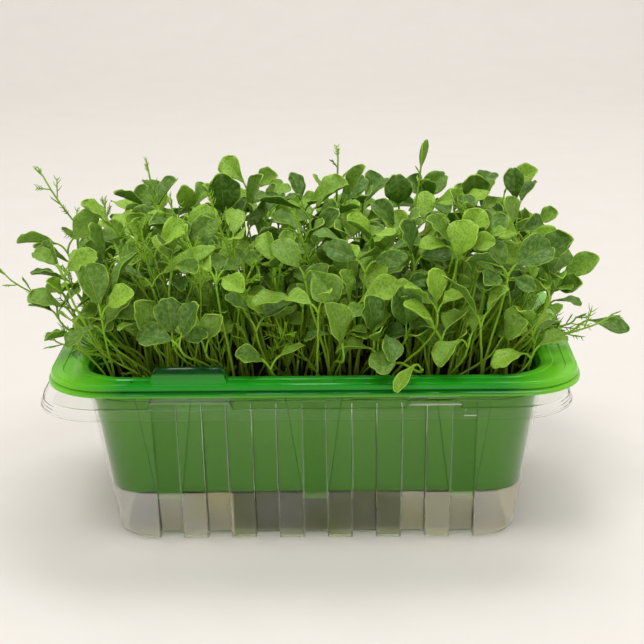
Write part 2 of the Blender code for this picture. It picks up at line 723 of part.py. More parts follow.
def plan_feathery(crowd, places, load, rng, plan):
    """Feathery seedlings: a thin stem with narrow leaflets in pairs."""
    for tip, leafy in FEATHERY:
        tip = Vector(tip)
        plug = nearest_plug(places, load, tip.x * 0.75, tip.y * 0.75, 3)
        root = root_in_plug(places[plug], load[plug])
        name = len(plan)
        stem = try_stem(crowd, name, root, tip, rng)
        if stem is None:
            continue
        path = stem_path(root, tip, stem["arrive"], 40)
        needles = []
        for pair in range(FEATHER_PAIRS):
            spot = path[int(40 - 40 * leafy / (tip.z - SOIL_Z) * (pair + 0.2) / FEATHER_PAIRS * 0.8)]
            ahead = (tip - path[20]).normalized()
            side, other = across(ahead)
            turn = rng.uniform(0, math.pi)
            for hand in (1, -1):
                out = (side * math.cos(turn) + other * math.sin(turn)) * hand
                end = spot + (out + ahead * 0.7).normalized() * FEATHER_LEAFLET
                needle = {"kind": "needle", "start": spot, "end": end}
                if crowd.clear((name,), needle_mesh(needle, GAP)):
                    needles.append(needle)
        seedling = {"id": name, "plug": plug, "stem": stem, "parts": needles}
        keep(crowd, seedling, load)
        plan.append(seedling)


def plan_fill(crowd, places, load, rng, plan):
    """Seedlings that fill the rest of the tray by rule."""
    made = 0
    for attempt in range(FILL_SEEDLINGS * 6):
        if made >= FILL_SEEDLINGS:
            break
        emptiest = min(load)
        plug = rng.choice([n for n in range(len(places)) if load[n] == emptiest])
        root = root_in_plug(places[plug], load[plug])
        x = root[0] * rng.uniform(1.0, 1.25) + rng.uniform(-7, 7)
        y = root[1] * rng.uniform(1.0, 1.3) + rng.uniform(-6, 6)
        edge = max(abs(x) / 90.0, abs(y) / 52.0)
        apex = Vector((x, y, rng.uniform(90, 112) - 16 * max(edge - 0.55, 0.0)))
        name = len(plan)
        stem = try_stem(crowd, name, root, apex, rng)
        if stem is None:
            continue
        for again in range(TRIES):
            heading = math.atan2(y, x) + rng.uniform(-1.6, 1.6)
            climb = rng.uniform(-0.15, 1.1)
            out = Vector((math.cos(heading) * math.cos(climb), math.sin(heading) * math.cos(climb),
                          math.sin(climb)))
            length = rng.uniform(*LEAF_LENGTH)
            leaf = grown_leaf(apex, out, length, length * rng.uniform(*LEAF_BROAD), rng)
            seedling = {"id": name, "plug": plug, "stem": stem, "parts": [leaf]}
            if not inside_reach(leaf) or crosses_itself(seedling_mesh(seedling)):
                continue
            if crowd.clear((name,), leaf_mesh(leaf, GAP)):
                keep(crowd, seedling, load)
                plan.append(seedling)
                made += 1
                break


def add_partners(crowd, rng, plan):
    """Give each kale seedling its second leaf where there is room."""
    for seedling in plan:
        first = seedling["parts"][0] if seedling["parts"] else None
        if first is None or first["kind"] != "leaf":
            continue
        leaf = second_leaf(crowd, seedling, first, rng)
        if leaf:
            seedling["parts"].append(leaf)
            crowd.add(seedling["id"], leaf_mesh(leaf))


def piece_mesh(piece):
    return leaf_mesh(piece) if piece["kind"] == "leaf" else needle_mesh(piece)


def rim_guard():
    """Walls that the plants keep clear of: the green tray's inside and rim, up to its latch block."""
    rings = []
    for z, size in ((52.0, (80.0, 48.2)), (67.7, (82.3, 50.7)), (69.0, (83.4, 51.8)), (69.0, (94.6, 61.2)),
                    (64.0, (96.0, 62.6))):
        rings.append([(x, y, z) for x, y in outline(size[0], size[1], 17.0, [])])
    points, faces = loft(rings)
    return points, faces[:-1]


def plan_plants():
    """Decide where every stem and leaf goes, the same way every time."""
    rng = random.Random(SEED)
    places = plug_places(rng)
    load = [0] * len(places)
    crowd = Crowd()
    crowd.add("rim", rim_guard())
    (x0, x1), (y0, y1), top = GREEN_BOSS
    crowd.add("rim", ([(x, y, z) for z in (68.0, top + 0.3) for x, y in
                       ((x0 - 1, y0 - 1), (x1 + 1, y0 - 1), (x1 + 1, y1 + 1), (x0 - 1, y1 + 1))],
                      [(0, 1, 2, 3), (4, 5, 6, 7), (0, 1, 5, 4), (1, 2, 6, 5), (2, 3, 7, 6), (3, 0, 4, 7)]))
    plan = []
    plan_placed(crowd, places, load, rng, plan)
    plan_feathery(crowd, places, load, rng, plan)
    plan_fill(crowd, places, load, rng, plan)
    add_partners(crowd, rng, plan)
    return places, plan


def make_seedlings(group, places, plan, mat):
    """One object for each plug: its stems and leaves fused with it."""
    number = 0
    cutters = []
    for plug, place in enumerate(places):
        own = [s for s in plan if s["plug"] == plug]
        if not own:
            continue
        number += 1
        name = "seedlings_%02d" % number
        turn = 0.3 * plug
        body = prism(name, place, PLUG_RADIUS, SOIL_Z - PLUG_DEPTH, SOIL_Z + PLUG_PROUD, turn, group)
        body.data.materials.append(mat)
        pieces = []
        for seedling in own:
            if seedling["parts"] and seedling["parts"][0]["kind"] == "leaf":
                pieces.append(mesh_object("seedling", *seedling_mesh(seedling), group))
                continue
            pieces.append(mesh_object("stem", *stem_mesh(seedling["stem"]), group))
            for needle in seedling["parts"]:
                pieces.append(mesh_object("needle", *needle_mesh(needle), group))
        combine(body, pieces, "UNION")
        cutters.append(prism("hole", place, PLUG_RADIUS + 1.3 * PLUG_GAP, SOIL_Z - PLUG_DEPTH - PLUG_GAP,
                             SOIL_Z + 5.0, turn, group))
    return cutters


def build():
    wipe()
    group = collection(NAME)
    clear = material("clear_plastic", (0.85, 0.88, 0.86), 0.08, alpha=0.3)
    green = material("green_plastic", (0.03, 0.42, 0.05), 0.22)
    soil_mat = material("soil", (0.02, 0.014, 0.012), 0.9)
    leaf_mat = material("leaf", (0.12, 0.28, 0.05), 0.5)
    make_clear_tray(group, clear)
    make_green_tray(group, green)
    soil = make_soil(group, soil_mat)
    places, plan = plan_plants()
    cutters = make_seedlings(group, places, plan, leaf_mat)
    combine(soil, cutters, "DIFFERENCE")


build()
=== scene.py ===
"""Kale microgreens in a green tray that stands in a clear outer tray: how they look."""
import math
import random

import bpy
import numpy as np
from mathutils import Matrix, Vector
from mathutils.bvhtree import BVHTree


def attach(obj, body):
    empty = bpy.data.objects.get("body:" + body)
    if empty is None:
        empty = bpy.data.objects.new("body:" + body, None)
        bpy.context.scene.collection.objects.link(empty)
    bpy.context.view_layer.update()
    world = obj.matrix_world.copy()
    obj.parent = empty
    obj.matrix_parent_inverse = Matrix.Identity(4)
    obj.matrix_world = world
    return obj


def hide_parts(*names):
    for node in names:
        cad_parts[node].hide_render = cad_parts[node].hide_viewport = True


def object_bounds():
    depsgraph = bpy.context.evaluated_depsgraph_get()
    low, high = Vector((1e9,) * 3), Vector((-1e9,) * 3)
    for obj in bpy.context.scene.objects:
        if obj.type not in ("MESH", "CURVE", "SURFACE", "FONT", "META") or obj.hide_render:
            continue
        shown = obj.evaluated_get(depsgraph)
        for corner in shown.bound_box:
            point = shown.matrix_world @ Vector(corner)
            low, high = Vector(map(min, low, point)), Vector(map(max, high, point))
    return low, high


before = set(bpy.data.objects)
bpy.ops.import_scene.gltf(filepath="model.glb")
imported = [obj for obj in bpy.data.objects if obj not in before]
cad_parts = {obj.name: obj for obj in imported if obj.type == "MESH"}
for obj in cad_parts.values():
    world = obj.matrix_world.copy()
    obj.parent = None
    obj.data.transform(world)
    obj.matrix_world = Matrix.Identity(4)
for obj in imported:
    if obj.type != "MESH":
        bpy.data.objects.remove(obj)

CAD_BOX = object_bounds()
MM = 0.001
SEED = 41


# Lengths below are in millimetres unless a comment says otherwise.
# Clear outer tray.  LIP, CREASE and LEDGE are half width, half depth, corner radius and height of the
# outer skin; FOOT has no height, because it stands on the ground.
CLEAR_SHEET = 0.5
CLEAR_FLANGE_SHIFT = -3.0
CLEAR_LIP = (95.6, 62.3, 22.5, 56.0)
CLEAR_CREASE = (94.5, 61.0, 21.5, 60.0)
CLEAR_LEDGE = (83.0, 51.8, 18.4, 60.0)
CLEAR_FOOT = (74.0, 41.4, 15.0)
CLEAR_CORNER_GROWS = 0.05
CLEAR_SLOPE_X = 0.142
CLEAR_SLOPE_Y = 0.162
CLEAR_EDGE = 5.0
FLUTE_PITCH = 17.8
FLUTE_HALF = 3.9
FLUTE_SIDE = 0.5
FLUTE_COUNT = 7
FLUTE_DEEP = 4.6
FLUTE_KINK_Z = 17.4

# Green inner tray, with the same kinds of sizes; its foot is at the height of its floor.
GREEN_SHEET = 0.6
GREEN_LIP = (95.0, 61.7, 22.3, 64.5)
GREEN_CREASE = (93.3, 60.2, 21.0, 68.7)
GREEN_LEDGE = (83.2, 51.6, 17.2, 68.7)
GREEN_FOOT = (75.4, 42.9, 15.0)
GREEN_CORNER_GROWS = 0.04
GREEN_FLOOR_Z = 20.0
GREEN_SLOPE_X = 0.145
GREEN_SLOPE_Y = 0.166
RIB_X = (-53.4, 0.0, 53.4)
RIB_HALF_FOOT = 4.5
RIB_WIDEN = 0.13
RIB_FOOT_Z = 17.7
RIB_FOOT_REACH = 5.5
GREEN_BOSS = ((-55.3, -31.3), (-59.6, -52.6), 72.8)

# Soil.
SOIL_GAP = 0.35
SOIL_Z = 55.0

# Seedlings.
PLUG_COLUMNS = 8
PLUG_ROWS = 6
PLUG_AREA = (71.0, 38.0)
PLUG_JITTER = 2.6
STEM_HALF = 0.52
STEM_STEPS = 4
BLADE_THICK = 0.7
GAP = 0.35

# Leaves placed after the photograph, in millimetres: where the blade starts, where it ends, how wide it is,
# and how far it is rolled from facing up and forward.
PLACED_LEAVES = (
    ((101, -19, 77), (115, -23, 73), 8, 25), ((96, -24, 80), (98, -27, 91), 9, 10),
    ((36, -58, 75), (31, -66, 68), 7, 20), ((25, -53, 83), (25, -59, 74), 12, 10),
    ((51, -53, 82), (43, -59, 75), 10, 20), ((67, -44, 80), (75, -49, 87), 9, 30),
    ((-58, 21, 112), (-52, 18, 126), 8, 45), ((38, -50, 97), (29, -53, 102), 8, 35),
    ((-36, -53, 83), (-31, -55, 92), 9, 20), ((-34, 8, 112), (-35, 4, 129), 13, 0),
    ((-37, 15, 107), (-43, 15, 122), 8, 35), ((-25, 11, 112), (-21, 8, 127), 14, 0),
    ((-23, 20, 121), (-14, 16, 125), 8, 30), ((-48, 11, 113), (-49, 6, 124), 8, 30),
    ((-63, 1, 117), (-74, -3, 123), 8, 45), ((-75, -4, 111), (-86, -8, 120), 10, 15),
    ((-96, -6, 105), (-110, -10, 106), 9, 50), ((-94, 2, 96), (-106, -2, 102), 8, 40),
    ((-92, -13, 93), (-104, -17, 97), 8, 35), ((-92, -23, 86), (-104, -27, 89), 12, 10),
    ((-87, -31, 78), (-97, -35, 77), 8, 40), ((-77, -47, 86), (-85, -54, 80), 9, 20),
    ((-77, -34, 91), (-79, -37, 104), 12, 0), ((-77, -14, 101), (-82, -16, 115), 9, 30),
    ((-57, -45, 82), (-62, -47, 95), 12, 5), ((-49, -51, 85), (-50, -52, 98), 11, 0),
    ((-45, -56, 86), (-39, -59, 98), 9, 15), ((-22, -46, 88), (-30, -49, 97), 10, 20),
    ((-7, -39, 93), (-21, -47, 94), 10, 15), ((0, -45, 105), (8, -53, 96), 12, 15),
    ((10, -56, 82), (5, -61, 98), 13, 0), ((13, -46, 91), (10, -47, 102), 9, 35),
    ((21, -49, 84), (19, -52, 98), 11, 15), ((30, -44, 83), (29, -47, 98), 12, 0),
    ((46, -54, 82), (37, -60, 95), 14, 0), ((43, -45, 93), (41, -48, 106), 10, 15),
    ((57, -49, 90), (46, -54, 107), 8, 50), ((42, -57, 100), (49, -63, 91), 8, 45),
    ((51, -37, 106), (56, -39, 120), 13, 0), ((65, -44, 106), (53, -48, 109), 8, 60),
    ((81, -26, 102), (93, -29, 111), 12, 10), ((93, -4, 90), (106, -7, 98), 9, 30),
    ((76, 21, 121), (85, 17, 126), 8, 35), ((77, 10, 115), (77, 6, 126), 12, 0),
    ((74, 0, 108), (71, -4, 120), 12, 5), ((62, 24, 113), (61, 20, 124), 12, 0),
    ((53, 10, 112), (51, 7, 121), 9, 10), ((58, -2, 112), (59, -5, 122), 10, 10),
    ((32, 14, 114), (31, 10, 126), 11, 0), ((12, 14, 118), (17, 11, 131), 8, 30),
    ((6, 20, 112), (0, 16, 125), 8, 30), ((22, -20, 107), (12, -25, 118), 11, 15),
    ((2, -14, 110), (10, -18, 119), 9, 15), ((35, -34, 108), (30, -38, 120), 12, 0),
    ((22, -46, 108), (34, -50, 109), 8, 60), ((-54, -38, 102), (-36, -36, 111), 9, 45),
    ((-59, -36, 111), (-68, -43, 99), 9, 35), ((-49, -22, 111), (-58, -26, 118), 10, 30),
    ((-38, -6, 97), (-40, -9, 110), 10, 10), ((-16, -2, 96), (-17, -5, 110), 12, 0),
    ((-5, -4, 117), (-20, -8, 121), 9, 40),
)

# Feathery seedlings: where each tip is, and how long its leafy part is.
FEATHERY = (((-101, 4, 128), 34), ((-116, -6, 93), 26), ((41, 14, 137), 30),
            ((108, -26, 82), 24), ((9, 34, 128), 26), ((-65, 30, 124), 24))
FEATHER_PAIRS = 4
FEATHER_LEAFLET = 7.5
FEATHER_RADIUS = 0.5

# How high a stem climbs before it leans, more so where a low one passes over the rim.
RIM_INSIDE = (83.0, 51.0)
STEM_CLIMB = 0.42
OVER_RIM_CLIMB = 1.35
OVER_RIM_RISE = 30.0
NUDGES = 4
FILL_SEEDLINGS = 34
LEAF_LENGTH = (11.0, 15.5)
LEAF_BROAD = (0.62, 0.82)
STALK_LENGTH = (3.5, 6.0)
REACH = (112.0, 72.0)
REACH_Z = (66.0, 131.0)
TRIES = 24


def outline(half_x, half_y, radius, long_side, shift=0.0, corner_steps=3):
    """Points round a rounded rectangle, anticlockwise from the front right corner's start.

    long_side lists the points along the front as (x, how far in); the back mirrors them.
    """
    ring = []
    corners = ((1, -1, -90), (1, 1, 0), (-1, 1, 90), (-1, -1, 180))
    for index, (side_x, side_y, start) in enumerate(corners):
        for step in range(corner_steps + 1):
            turn = math.radians(start + 90.0 * step / corner_steps)
            x = side_x * (half_x - radius) + radius * math.cos(turn) + shift
            y = side_y * (half_y - radius) + radius * math.sin(turn)
            ring.append((x, y))
        if index == 1:
            ring += [(x, half_y - inward) for x, inward in reversed(long_side)]
        if index == 3:
            ring += [(x, inward - half_y) for x, inward in long_side]
    return ring


def loft(rings):
    """Quads between rings of equal length, and the last ring closed by one face."""
    count = len(rings[0])
    points = [p for ring in rings for p in ring]
    faces = []
    for level in range(len(rings) - 1):
        for i in range(count):
            j = (i + 1) % count
            low, high = level * count, (level + 1) * count
            faces.append((low + i, high + i, high + j, low + j))
    last = (len(rings) - 1) * count
    faces.append(tuple(range(last + count - 1, last - 1, -1)))
    return points, faces


# Shapes of stems and leaves.
def across(direction):
    """Two unit vectors square to a direction."""
    helper = Vector((0, 0, 1)) if abs(direction.z) < 0.9 else Vector((1, 0, 0))
    first = direction.cross(helper).normalized()
    return first, direction.cross(first).normalized()


def stem_path(root, apex, arrive, steps):
    """A curve that leaves the soil upright and reaches the apex from below."""
    start = Vector((root[0], root[1], SOIL_Z - 1.5))
    rise = apex.z - SOIL_Z
    climb = STEM_CLIMB
    if max(abs(apex.x) - RIM_INSIDE[0], abs(apex.y) - RIM_INSIDE[1]) > 0:
        climb += OVER_RIM_CLIMB * min(max((OVER_RIM_RISE - rise) / 15.0, 0.0), 1.0)
    first = start + Vector((0, 0, climb * rise))
    second = apex - arrive * 0.38 * rise
    return bezier(start, first, second, apex, steps)


def bezier(a, b, c, d, steps):
    """Points on a curve from a to d, pulled toward b and c."""
    path = []
    for step in range(steps + 1):
        t = step / steps
        u = 1 - t
        path.append(u * u * u * a + 3 * u * u * t * b + 3 * u * t * t * c + t * t * t * d)
    return path


def tube(path, radii, sides):
    """A closed tube along a path; its last ring is as wide as its radius says."""
    points = []
    faces = []
    count = len(path)
    for index, centre in enumerate(path):
        before = path[max(index - 1, 0)]
        after = path[min(index + 1, count - 1)]
        side, other = across((after - before).normalized())
        for step in range(sides):
            angle = math.tau * step / sides
            points.append(centre + radii[index] * (math.cos(angle) * side + math.sin(angle) * other))
    for index in range(count - 1):
        for step in range(sides):
            low, high = index * sides, (index + 1) * sides
            after = (step + 1) % sides
            faces.append((low + step, low + after, high + after, high + step))
    faces.append(tuple(range(sides - 1, -1, -1)))
    faces.append(tuple(range((count - 1) * sides, count * sides)))
    return points, faces


def stem_mesh(stem, grow=0.0):
    """The stem alone, to test whether it is clear; it starts above the plug when it is grown."""
    path = stem_path(stem["root"], stem["apex"], stem["arrive"], STEM_STEPS)
    if grow:
        path = path[1:]
    radius = STEM_HALF * 1.41 + grow
    return tube(path, [radius] * len(path), 4)


# A blade's points: 0 and 7 its neck, 1 to 6 its edge with the tip at 3 and 4, 8 and 9 its middle.
BLADE_FACES = ((8, 0, 7), (0, 8, 1), (7, 6, 8), (1, 8, 9), (6, 9, 8), (1, 9, 2), (6, 5, 9), (2, 9, 3),
               (5, 4, 9), (3, 9, 4))


def blade_points(leaf, grow=0.0):
    """The blade's middle surface and its normals, from the neck to the notched tip."""
    neck = leaf["neck"]
    axis = leaf["tip"] - neck
    length = axis.length
    axis.normalize()
    side = leaf["side"]
    normal = axis.cross(side).normalized()
    half = 0.5 * leaf["wide"] + grow
    cup = leaf["cup"] * leaf["wide"]
    arch = 4 * leaf["arch"] * length
    end = grow / length
    edge = ((0.0, 0.62 + grow, 0.0), (0.5, half, cup), (0.86, 0.74 * half, 0.8 * cup),
            (1.0 + end, 0.28 * half, 0.3 * cup))
    notch = 0.93 + end
    spots = list(edge)
    spots += [(t, -s, lift) for t, s, lift in reversed(edge)]
    spots += [(0.42, 0.0, 0.0), (notch - 0.14, 0.0, 0.05 * cup)]
    points = [neck + axis * (t * length) + side * s + normal * (lift + arch * t * (1 - t))
              for t, s, lift in spots]
    return points, normal


def leaf_faces(lower, upper, ring):
    """Faces of a blade with its stalk; lower and upper are the blade's first indices.

    ring holds the four points that the stalk starts from: lower left, lower right, upper right, upper left.
    """
    faces = [tuple(upper + i for i in face) for face in BLADE_FACES]
    faces += [tuple(lower + i for i in reversed(face)) for face in BLADE_FACES]
    for i in range(7, 0, -1):
        faces += split((lower + i, lower + i - 1, upper + i - 1, upper + i))
    neck = (lower + 7, lower, upper, upper + 7)
    for i in range(4):
        j = (i + 1) % 4
        faces += split((ring[i], ring[j], neck[j], neck[i]))
    return faces


def split(face):
    """A face cut into triangles that share its first point."""
    return [(face[0], face[i], face[i + 1]) for i in range(1, len(face) - 1)]


def leaf_mesh(leaf, grow=0.0):
    """A leaf with its stalk as a closed shape of its own, to test whether it is clear."""
    points, normal = blade_points(leaf, grow)
    thick = 0.5 * BLADE_THICK + grow
    base, side = leaf["base"], leaf["side"] * (0.5 + grow)
    stalk_normal = (leaf["neck"] - base).normalized().cross(leaf["side"]).normalized() * thick
    start = [base - side - stalk_normal, base + side - stalk_normal,
             base + side + stalk_normal, base - side + stalk_normal]
    everything = start + [p - normal * thick for p in points] + [p + normal * thick for p in points]
    faces = leaf_faces(4, 4 + len(points), (0, 1, 2, 3))
    faces += split((3, 2, 1, 0))
    return everything, faces


def seedling_mesh(seedling):
    """A stem that runs into one leaf, or forks into two, as one closed skin."""
    stem, leaves = seedling["stem"], seedling["parts"]
    path = stem_path(stem["root"], stem["apex"], stem["arrive"], STEM_STEPS)
    away = leaves[0]["neck"] - stem["apex"] + 0.3 * (leaves[0]["tip"] - leaves[0]["neck"])
    away.z = 0.0
    away.normalize()
    points = []
    faces = []
    for index, centre in enumerate(path):
        along = (path[min(index + 1, STEM_STEPS)] - path[max(index - 1, 0)]).normalized()
        out = (away - along * away.dot(along)).normalized() * STEM_HALF
        left = along.cross(out)
        points += [centre + out - left, centre + out + left, centre - out + left, centre - out - left]
    faces += split((3, 2, 1, 0))
    top = 4 * STEM_STEPS
    crotch = top + 4
    paired = len(leaves) > 1
    for level in range(STEM_STEPS):
        for i in range(4):
            j = (i + 1) % 4
            low, high = 4 * level, 4 * level + 4
            face = (low + i, low + j, high + j, high + i)
            if paired and high == top and i == 1:
                face = (low + i, low + j, high + j, crotch + 1, high + i)
            if paired and high == top and i == 3:
                face = (low + i, low + j, high + j, crotch, high + i)
            faces += split(face)
    rings = [(top, top + 1, top + 2, top + 3)]
    if paired:
        points += [path[-1] - left + along * 0.35, path[-1] + left + along * 0.35]
        rings = [(top, top + 1, crotch + 1, crotch), (top + 2, top + 3, crotch, crotch + 1)]
    for leaf, ring in zip(leaves, rings):
        blade, normal = blade_points(leaf)
        lower = len(points)
        thick = 0.5 * BLADE_THICK * normal
        points += [p - thick for p in blade] + [p + thick for p in blade]
        faces += leaf_faces(lower, lower + len(blade), ring)
    return points, faces


def tree_of(mesh):
    """A search tree over a mesh's faces."""
    return BVHTree.FromPolygons([tuple(p) for p in mesh[0]], mesh[1])


def box_of(mesh):
    """The lowest and the highest corner of a mesh's box."""
    points = mesh[0]
    return [min(p[k] for p in points) for k in range(3)], [max(p[k] for p in points) for k in range(3)]


def crosses_itself(mesh):
    """True if faces of the mesh that share no point meet."""
    faces = mesh[1]
    tree = tree_of(mesh)
    for one, other in tree.overlap(tree):
        if one < other and not set(faces[one]) & set(faces[other]):
            return True
    return False


def needle_mesh(needle, grow=0.0):
    """One leaflet of a feathery seedling, to test whether it is clear."""
    start, end = needle["start"], needle["end"]
    if grow:
        start = start + (end - start) * 0.15
    return tube([start, end], [FEATHER_RADIUS + grow, 0.5 * FEATHER_RADIUS + grow], 3)


# Planting rule.
def plug_places(rng):
    """Root plugs on a shaken grid, every other row shifted by half a step."""
    places = []
    step_x = 2 * PLUG_AREA[0] / (PLUG_COLUMNS - 0.5)
    step_y = 2 * PLUG_AREA[1] / (PLUG_ROWS - 1)
    for row in range(PLUG_ROWS):
        for column in range(PLUG_COLUMNS):
            x = -PLUG_AREA[0] + step_x * (column + 0.5 * (row % 2))
            y = -PLUG_AREA[1] + step_y * row
            places.append((x + rng.uniform(-PLUG_JITTER, PLUG_JITTER),
                           y + rng.uniform(-PLUG_JITTER, PLUG_JITTER)))
    return places


class Crowd:
    """Everything placed so far, so that a new piece can be kept clear of it."""

    def __init__(self):
        self.placed = []

    def add(self, owner, mesh):
        self.placed.append((owner, *box_of(mesh), tree_of(mesh)))

    def add_seedling(self, seedling):
        """Add a seedling's stem and all that it bears."""
        self.add(seedling["id"], stem_mesh(seedling["stem"]))
        for piece in seedling["parts"]:
            self.add(seedling["id"], piece_mesh(piece))

    def clear(self, owners, mesh):
        """True if the mesh touches nothing that belongs to anyone but these owners."""
        low, high = box_of(mesh)
        tree = tree_of(mesh)
        for owner, other_low, other_high, other in self.placed:
            if owner in owners:
                continue
            if any(low[k] > other_high[k] or high[k] < other_low[k] for k in range(3)):
                continue
            if tree.overlap(other):
                return False
        return True


def stalk_direction(axis):
    """The way a leaf's stalk runs into its blade."""
    level = Vector((axis.x, axis.y, 0.0))
    if axis.z < -0.3:
        return (0.8 * level + Vector((0, 0, 0.55))).normalized()
    return (0.75 * axis + Vector((0, 0, 0.6))).normalized()


def make_leaf(base, neck, tip, wide, roll, rng):
    """Fill in a leaf's frame: its side vector square to its axis, rolled by some degrees."""
    axis = (tip - neck).normalized()
    facing = Vector((0.0, -0.45, 0.9))
    facing = facing - axis * facing.dot(axis)
    if facing.length < 0.2:
        facing = Vector((0.0, -1.0, 0.0))
    facing.normalize()
    side = facing.cross(axis).normalized()
    turn = math.radians(roll)
    side = (side * math.cos(turn) + facing * math.sin(turn)).normalized()
    return {"kind": "leaf", "base": base, "neck": neck, "tip": tip, "wide": wide, "side": side,
            "cup": rng.uniform(0.06, 0.16), "arch": rng.uniform(0.02, 0.09)}


def nearest_plug(places, load, x, y, limit):
    """The nearest plug that still has room."""
    open_plugs = [n for n in range(len(places)) if load[n] < limit]
    return min(open_plugs, key=lambda n: (places[n][0] - x) ** 2 + (places[n][1] - y) ** 2)


def root_in_plug(place, load):
    """Stems of one plug stand side by side in it."""
    angle = 2.1 * load
    return (place[0] + 0.45 * math.cos(angle), place[1] + 0.45 * math.sin(angle))


def try_stem(crowd, owner, root, apex, rng):
    """Find a bend of the stem that is clear of the others."""
    lean = Vector((apex.x - root[0], apex.y - root[1], 0.0)) * max(1.0, OVER_RIM_RISE / (apex.z - SOIL_Z))
    for attempt in range(TRIES):
        spread = 0.004 * attempt
        arrive = Vector((lean.x * 0.012 + rng.uniform(-spread, spread) * 6,
                         lean.y * 0.012 + rng.uniform(-spread, spread) * 6, 1.0)).normalized()
        stem = {"kind": "stem", "root": root, "apex": apex, "arrive": arrive}
        if crowd.clear((owner,), stem_mesh(stem, GAP)):
            return stem
    return None


def pointing(turn, climb):
    """The unit vector that has this heading and this climb, both as angles."""
    return Vector((math.cos(turn) * math.cos(climb), math.sin(turn) * math.cos(climb), math.sin(climb)))


def second_leaf(crowd, seedling, first, rng):
    """The partner of a leaf, on the other side of the stem."""
    stem = seedling["stem"]
    axis = (first["tip"] - first["neck"]).normalized()
    heading = math.atan2(axis.y, axis.x) + math.pi
    for attempt in range(TRIES):
        turn = heading + rng.uniform(-0.3, 0.3) * (1 + 0.3 * attempt)
        out = pointing(turn, rng.uniform(0.0, 0.9))
        length = rng.uniform(*LEAF_LENGTH) * (1.0 if attempt < 12 else 0.85)
        leaf = grown_leaf(stem["apex"], out, length, length * rng.uniform(*LEAF_BROAD), rng)
        if inside_reach(leaf) and crowd.clear((seedling["id"],), leaf_mesh(leaf, GAP)):
            pair = {"stem": stem, "parts": [first, leaf]}
            if not crosses_itself(seedling_mesh(pair)):
                return leaf
    return None


def grown_leaf(apex, out, length, wide, rng):
    """A leaf that grows from a stem's apex in a direction."""
    stalk = stalk_direction(out)
    neck = apex + stalk * rng.uniform(*STALK_LENGTH)
    tip = neck + out * length
    return make_leaf(apex - stalk * 0.5 - Vector((0, 0, 0.6)), neck, tip, wide, rng.uniform(-35, 35), rng)


def inside_reach(leaf):
    """Keep leaves within the spread that the photograph shows."""
    tip = leaf["tip"]
    ring = (tip.x / REACH[0]) ** 2 + (tip.y / REACH[1]) ** 2
    return ring < 1.0 and REACH_Z[0] < tip.z < REACH_Z[1]


def plan_placed(crowd, places, load, rng, plan):
    """Seedlings whose first leaf is placed as listed."""
    for neck, tip, wide, roll in PLACED_LEAVES:
        for nudge in range(NUDGES):
            shift = Vector((rng.gauss(0, 1), rng.gauss(0, 1), rng.gauss(0, 1))) * nudge
            spot = (Vector(neck) + shift, Vector(tip) + shift, wide, roll)
            if plant_leaf(crowd, places, load, rng, plan, *spot):
                break


def plant_leaf(crowd, places, load, rng, plan, neck, tip, wide, roll):
    """One seedling with one leaf where it is wanted, if there is room for its stem and its blade."""
    axis = (tip - neck).normalized()
    stalk = stalk_direction(axis)
    apex = neck - stalk * 5.0
    plug = nearest_plug(places, load, apex.x * 0.8, apex.y * 0.8, 3)
    root = root_in_plug(places[plug], load[plug])
    name = len(plan)
    stem = try_stem(crowd, name, root, apex, rng)
    if stem is None:
        return False
    for attempt in range(10):
        narrower = 1.0 - 0.04 * attempt
        push = Vector((rng.uniform(-1, 1), rng.uniform(-1, 1), rng.uniform(-1, 1))) * 0.45 * attempt
        leaf = make_leaf(apex - stalk * 0.5 - Vector((0, 0, 0.6)), neck + push * 0.3, tip + push,
                         wide * narrower, roll + 4 * attempt * rng.uniform(-1, 1), rng)
        seedling = {"id": name, "plug": plug, "stem": stem, "parts": [leaf]}
        if crowd.clear((name,), leaf_mesh(leaf, GAP)) and not crosses_itself(seedling_mesh(seedling)):
            keep(crowd, seedling, load, plan)
            return True
    return False


def keep(crowd, seedling, load, plan):
    """Plant a seedling: the others stay clear of it from now on."""
    crowd.add_seedling(seedling)
    load[seedling["plug"]] += 1
    plan.append(seedling)


def plan_feathery(crowd, places, load, rng, plan):
    """Feathery seedlings: a thin stem with narrow leaflets in pairs."""
    for tip, leafy in FEATHERY:
        tip = Vector(tip)
        plug = nearest_plug(places, load, tip.x * 0.75, tip.y * 0.75, 3)
        root = root_in_plug(places[plug], load[plug])
        name = len(plan)
        stem = try_stem(crowd, name, root, tip, rng)
        if stem is None:
            continue
        path = stem_path(root, tip, stem["arrive"], 40)
        needles = []
        for pair in range(FEATHER_PAIRS):
            spot = path[int(40 - 40 * leafy / (tip.z - SOIL_Z) * (pair + 0.2) / FEATHER_PAIRS * 0.8)]
            ahead = (tip - path[20]).normalized()
            side, other = across(ahead)
            turn = rng.uniform(0, math.pi)
            for hand in (1, -1):
                out = (side * math.cos(turn) + other * math.sin(turn)) * hand
                end = spot + (out + ahead * 0.7).normalized() * FEATHER_LEAFLET
                needle = {"kind": "needle", "start": spot, "end": end}
                if crowd.clear((name,), needle_mesh(needle, GAP)):
                    needles.append(needle)
        seedling = {"id": name, "plug": plug, "stem": stem, "parts": needles}
        keep(crowd, seedling, load, plan)


def edge_of(x, y):
    """0 in the middle of the tray, about 1 at its rim."""
    return max(abs(x) / 90.0, abs(y) / 52.0)


